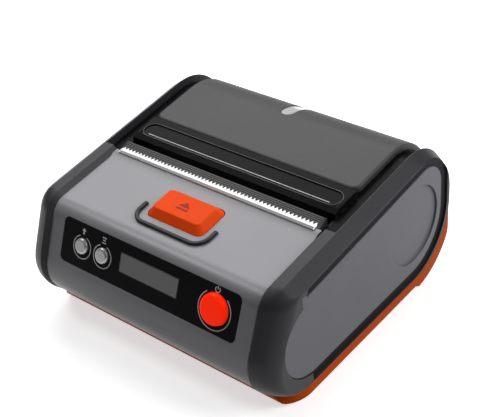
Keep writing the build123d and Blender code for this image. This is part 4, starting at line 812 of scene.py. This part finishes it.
# Fine ribs along the bar behind the blade
barRibs = {
    "Count": 4, "Pitch": 0.7, "Rib_Width": 0.24, "Rib_Height": 0.12, "endGap": 1.0, "first": -1.05,
    "steep": (0.8, 0.95),  # how far up the bar's sloping face looks, as the z of its normal
}


def makeBarRibs():
    least, most = barRibs["steep"]
    sloping = [face for face in nodes["blade_holder"].data.polygons if least < face.normal.z < most]
    upward = max(sloping, key=lambda face: face.area).normal.copy()
    middle = flatRegion("blade_holder", upward)[1]
    low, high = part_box("blade_holder")
    middle.x = (low.x + high.x) / 2
    place = placeOn(upward, middle) @ Matrix.Translation((0, barRibs["first"] * mm, 0))
    mesh = growMesh(
        ribTree, "barRibPlastic", place, Count=barRibs["Count"],
        Length=high.x - low.x - 2 * barRibs["endGap"] * mm,
        **inMetres(barRibs, "Pitch", "Rib_Width", "Rib_Height")
    )
    joinPiece("barRibs", "barRibPlastic", [mesh], "blade_holder")


# Darker grey band along the front of the blade
bladeBand = {"Rib_Width": 1.1, "Rib_Height": 0.05, "endGap": 0.3, "inset": 0.62}


def makeBladeBand():
    height = flatRegion("tear_blade", topOut)[0]
    low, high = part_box("tear_blade")
    front = min((v.co for v in nodes["tear_blade"].data.vertices), key=lambda place: place.y)
    middle = Vector((0, front.y + bladeBand["inset"] * mm, front.z))
    middle += topOut * (height - middle.dot(topOut))
    mesh = growMesh(
        ribTree, "bladeGrey", placeOn(topOut, middle), Count=1, Pitch=0.0,
        Length=high.x - low.x - 2 * bladeBand["endGap"] * mm,
        **inMetres(bladeBand, "Rib_Width", "Rib_Height")
    )
    joinPiece("bladeBand", "bladeGrey", [mesh], "tear_blade")


# The lid's black lip: painted highlights as light lines, along the outline of its sunk panel and along its
# fold
lipLines = {
    "ahead": 0.9, "rearGap": 2.9, "sideInset": 1.5, "sink": 0.3, "depth": 0.35, "lift": 0.05,
    "recess": {"Corner": 4.0, "Line_Width": 0.28, "Line_Height": 0.12},
    "brightLine": {"Rib_Width": 0.3, "Rib_Height": 0.08}, "behind": 1.5, "endGap": 3.6,
}


# Height of the cover's crown, carried on to any y along the top's slope
def crownHeight(y, edge=0.05 * mm):
    cover = nodes["lid_cover"].data.vertices
    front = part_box("lid_cover")[0].y
    top = max(vertex.co.z for vertex in cover if vertex.co.y < front + edge)
    return top + (y - front) * tan(radians(slopes["top"]))


def makeLipLines():
    platenLow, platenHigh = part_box("platen_shaft")
    coverLow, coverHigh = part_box("lid_cover")
    front = (platenLow.y + platenHigh.y) / 2 - lipLines["ahead"] * mm
    rear = coverLow.y - lipLines["rearGap"] * mm
    wide = coverHigh.x - coverLow.x - 2 * lipLines["sideInset"] * mm
    middle = Vector((0, (front + rear) / 2, crownHeight((front + rear) / 2)))
    deep = (rear - front) / cos(radians(slopes["top"]))
    place = placeOn(topOut, middle, lipLines["lift"] - lipLines["sink"])
    outline = growMesh(
        outlineTree, "frameLineAndLipHighlight", place, Width=wide, Depth=deep, Steps=10,
        **inMetres(lipLines["recess"])
    )
    joinPiece("lipOutlineHighlight", "frameLineAndLipHighlight", [outline], "lid_frame")
    # The painted highlight along the lip's fold
    back = front + lipLines["behind"] * mm
    fold = placeOn(topOut, Vector((0, back, crownHeight(back))), -lipLines["sink"] - lipLines["depth"])
    line = growMesh(
        ribTree, "foldHighlightGrey", fold, Count=1, Pitch=0.0, Length=wide - 2 * lipLines["endGap"] * mm,
        **inMetres(lipLines["brightLine"])
    )
    joinPiece("lipFoldHighlight", "foldHighlightGrey", [line], "lid_frame")


makePanelPrint()
makeDisplayLine()
makeOpenSign()
makeBarRibs()
makeBladeBand()
makeLipLines()
print("made pieces ready")


# Floor, lamps and camera

stageLook = {
    "floor": 8.0, "floorColour": (0.14, 0.14, 0.14), "roughness": 0.9, "floorLift": 0.62, "ambient": 0.085,
}
white = (1, 1, 1)


def buildFloor():
    mesh = bpy.data.meshes.new("floor")
    half = stageLook["floor"] / 2
    corners = [(-half, -half, 0), (half, -half, 0), (half, half, 0), (-half, half, 0)]
    mesh.from_pydata(corners, [], [(0, 1, 2, 3)])
    floor = addObject("floor", mesh)
    material, tree, shader = startMaterial("paleFloor")
    shader.inputs["Roughness"].default_value = stageLook["roughness"]
    shader.inputs["Specular IOR Level"].default_value = 0.0
    # Seen by the camera, in a gloss or through the pane, the floor is white but for its shadow
    path = newNode(tree, "ShaderNodeLightPath")
    seen = mathNode(tree, "MAXIMUM", path.outputs["Is Camera Ray"], path.outputs["Is Glossy Ray"])
    seen = mathNode(tree, "MAXIMUM", seen, path.outputs["Is Transmission Ray"])
    colour = mixColour(tree, seen, stageLook["floorColour"], white)
    lift = mathNode(tree, "MULTIPLY", seen, stageLook["floorLift"])
    tree.links.new(colour, shader.inputs["Base Color"])
    tree.links.new(lift, shader.inputs["Emission Strength"])
    mesh.materials.append(material)


def buildWorld():
    world = bpy.data.worlds.new("paleRoom")
    world.use_nodes = True
    bpy.context.scene.world = world
    background = world.node_tree.nodes["Background"]
    background.inputs["Color"].default_value = (*white, 1)
    background.inputs["Strength"].default_value = stageLook["ambient"]


lamps = {
    "backLeft": {"place": (-0.34, 0.46, 0.66), "aim": (0, 0, 0.03), "size": (0.9, 0.6), "power": 5.8},
    "frontLeft": {"place": (-0.42, -0.16, 0.66), "aim": (0, 0, 0.03), "size": (0.2, 0.2), "power": 1.1},
    "rightSide": {"place": (0.80, 0.36, 0.58), "aim": (0.05, 0, 0.03), "size": (0.5, 0.5), "power": 5.0},
}


def buildLamps():
    for name, lamp in lamps.items():
        light = bpy.data.lights.new(name, "AREA")
        light.shape = "RECTANGLE"
        light.size, light.size_y = lamp["size"]
        light.energy = lamp["power"]
        holder = addObject(name, light)
        holder.location = lamp["place"]
        aim = Vector(lamp["aim"]) - Vector(lamp["place"])
        holder.rotation_euler = aim.to_track_quat("-Z", "Y").to_euler()


# The photo's view, as it was fitted to the object's edges: pixels, degrees and metres
photoView = {
    "focal": 1102.1928, "azimuth": 42.9997, "elevation": 36.1608, "roll": -6.4485,
    "distance": 0.4301978, "sideways": 0.0039008, "upwards": -0.0252489, "forward": 0.001,
    "centre": (236.715, 215.941), "image": (488, 417), "sensor": 36.0, "nearest": 0.01,
}


def buildCamera():
    around, above, roll = (radians(photoView[key]) for key in ("azimuth", "elevation", "roll"))
    back = Vector((sin(around) * cos(above), -cos(around) * cos(above), sin(above)))
    right = Vector((cos(around), sin(around), 0))
    up = back.cross(right)
    side = right * cos(roll) + up * sin(roll)
    rise = up * cos(roll) - right * sin(roll)
    eye = -side * photoView["sideways"] - rise * photoView["upwards"] + back * photoView["distance"]
    eye.y += photoView["forward"]
    camera = bpy.data.cameras.new("photoCamera")
    width, height = photoView["image"]
    camera.sensor_fit = "HORIZONTAL"
    camera.sensor_width = photoView["sensor"]
    camera.lens = photoView["focal"] * photoView["sensor"] / width
    camera.shift_x = (width / 2 - photoView["centre"][0]) / width
    camera.shift_y = (photoView["centre"][1] - height / 2) / width
    camera.clip_start = photoView["nearest"]
    holder = addObject("photoCamera", camera)
    turn = Matrix((side, rise, back)).transposed().to_4x4()
    holder.matrix_world = Matrix.Translation(eye) @ turn
    bpy.context.scene.camera = holder


buildFloor()
buildWorld()
buildLamps()
buildCamera()
bpy.context.scene.view_settings.view_transform = "Standard"
print("stage ready")
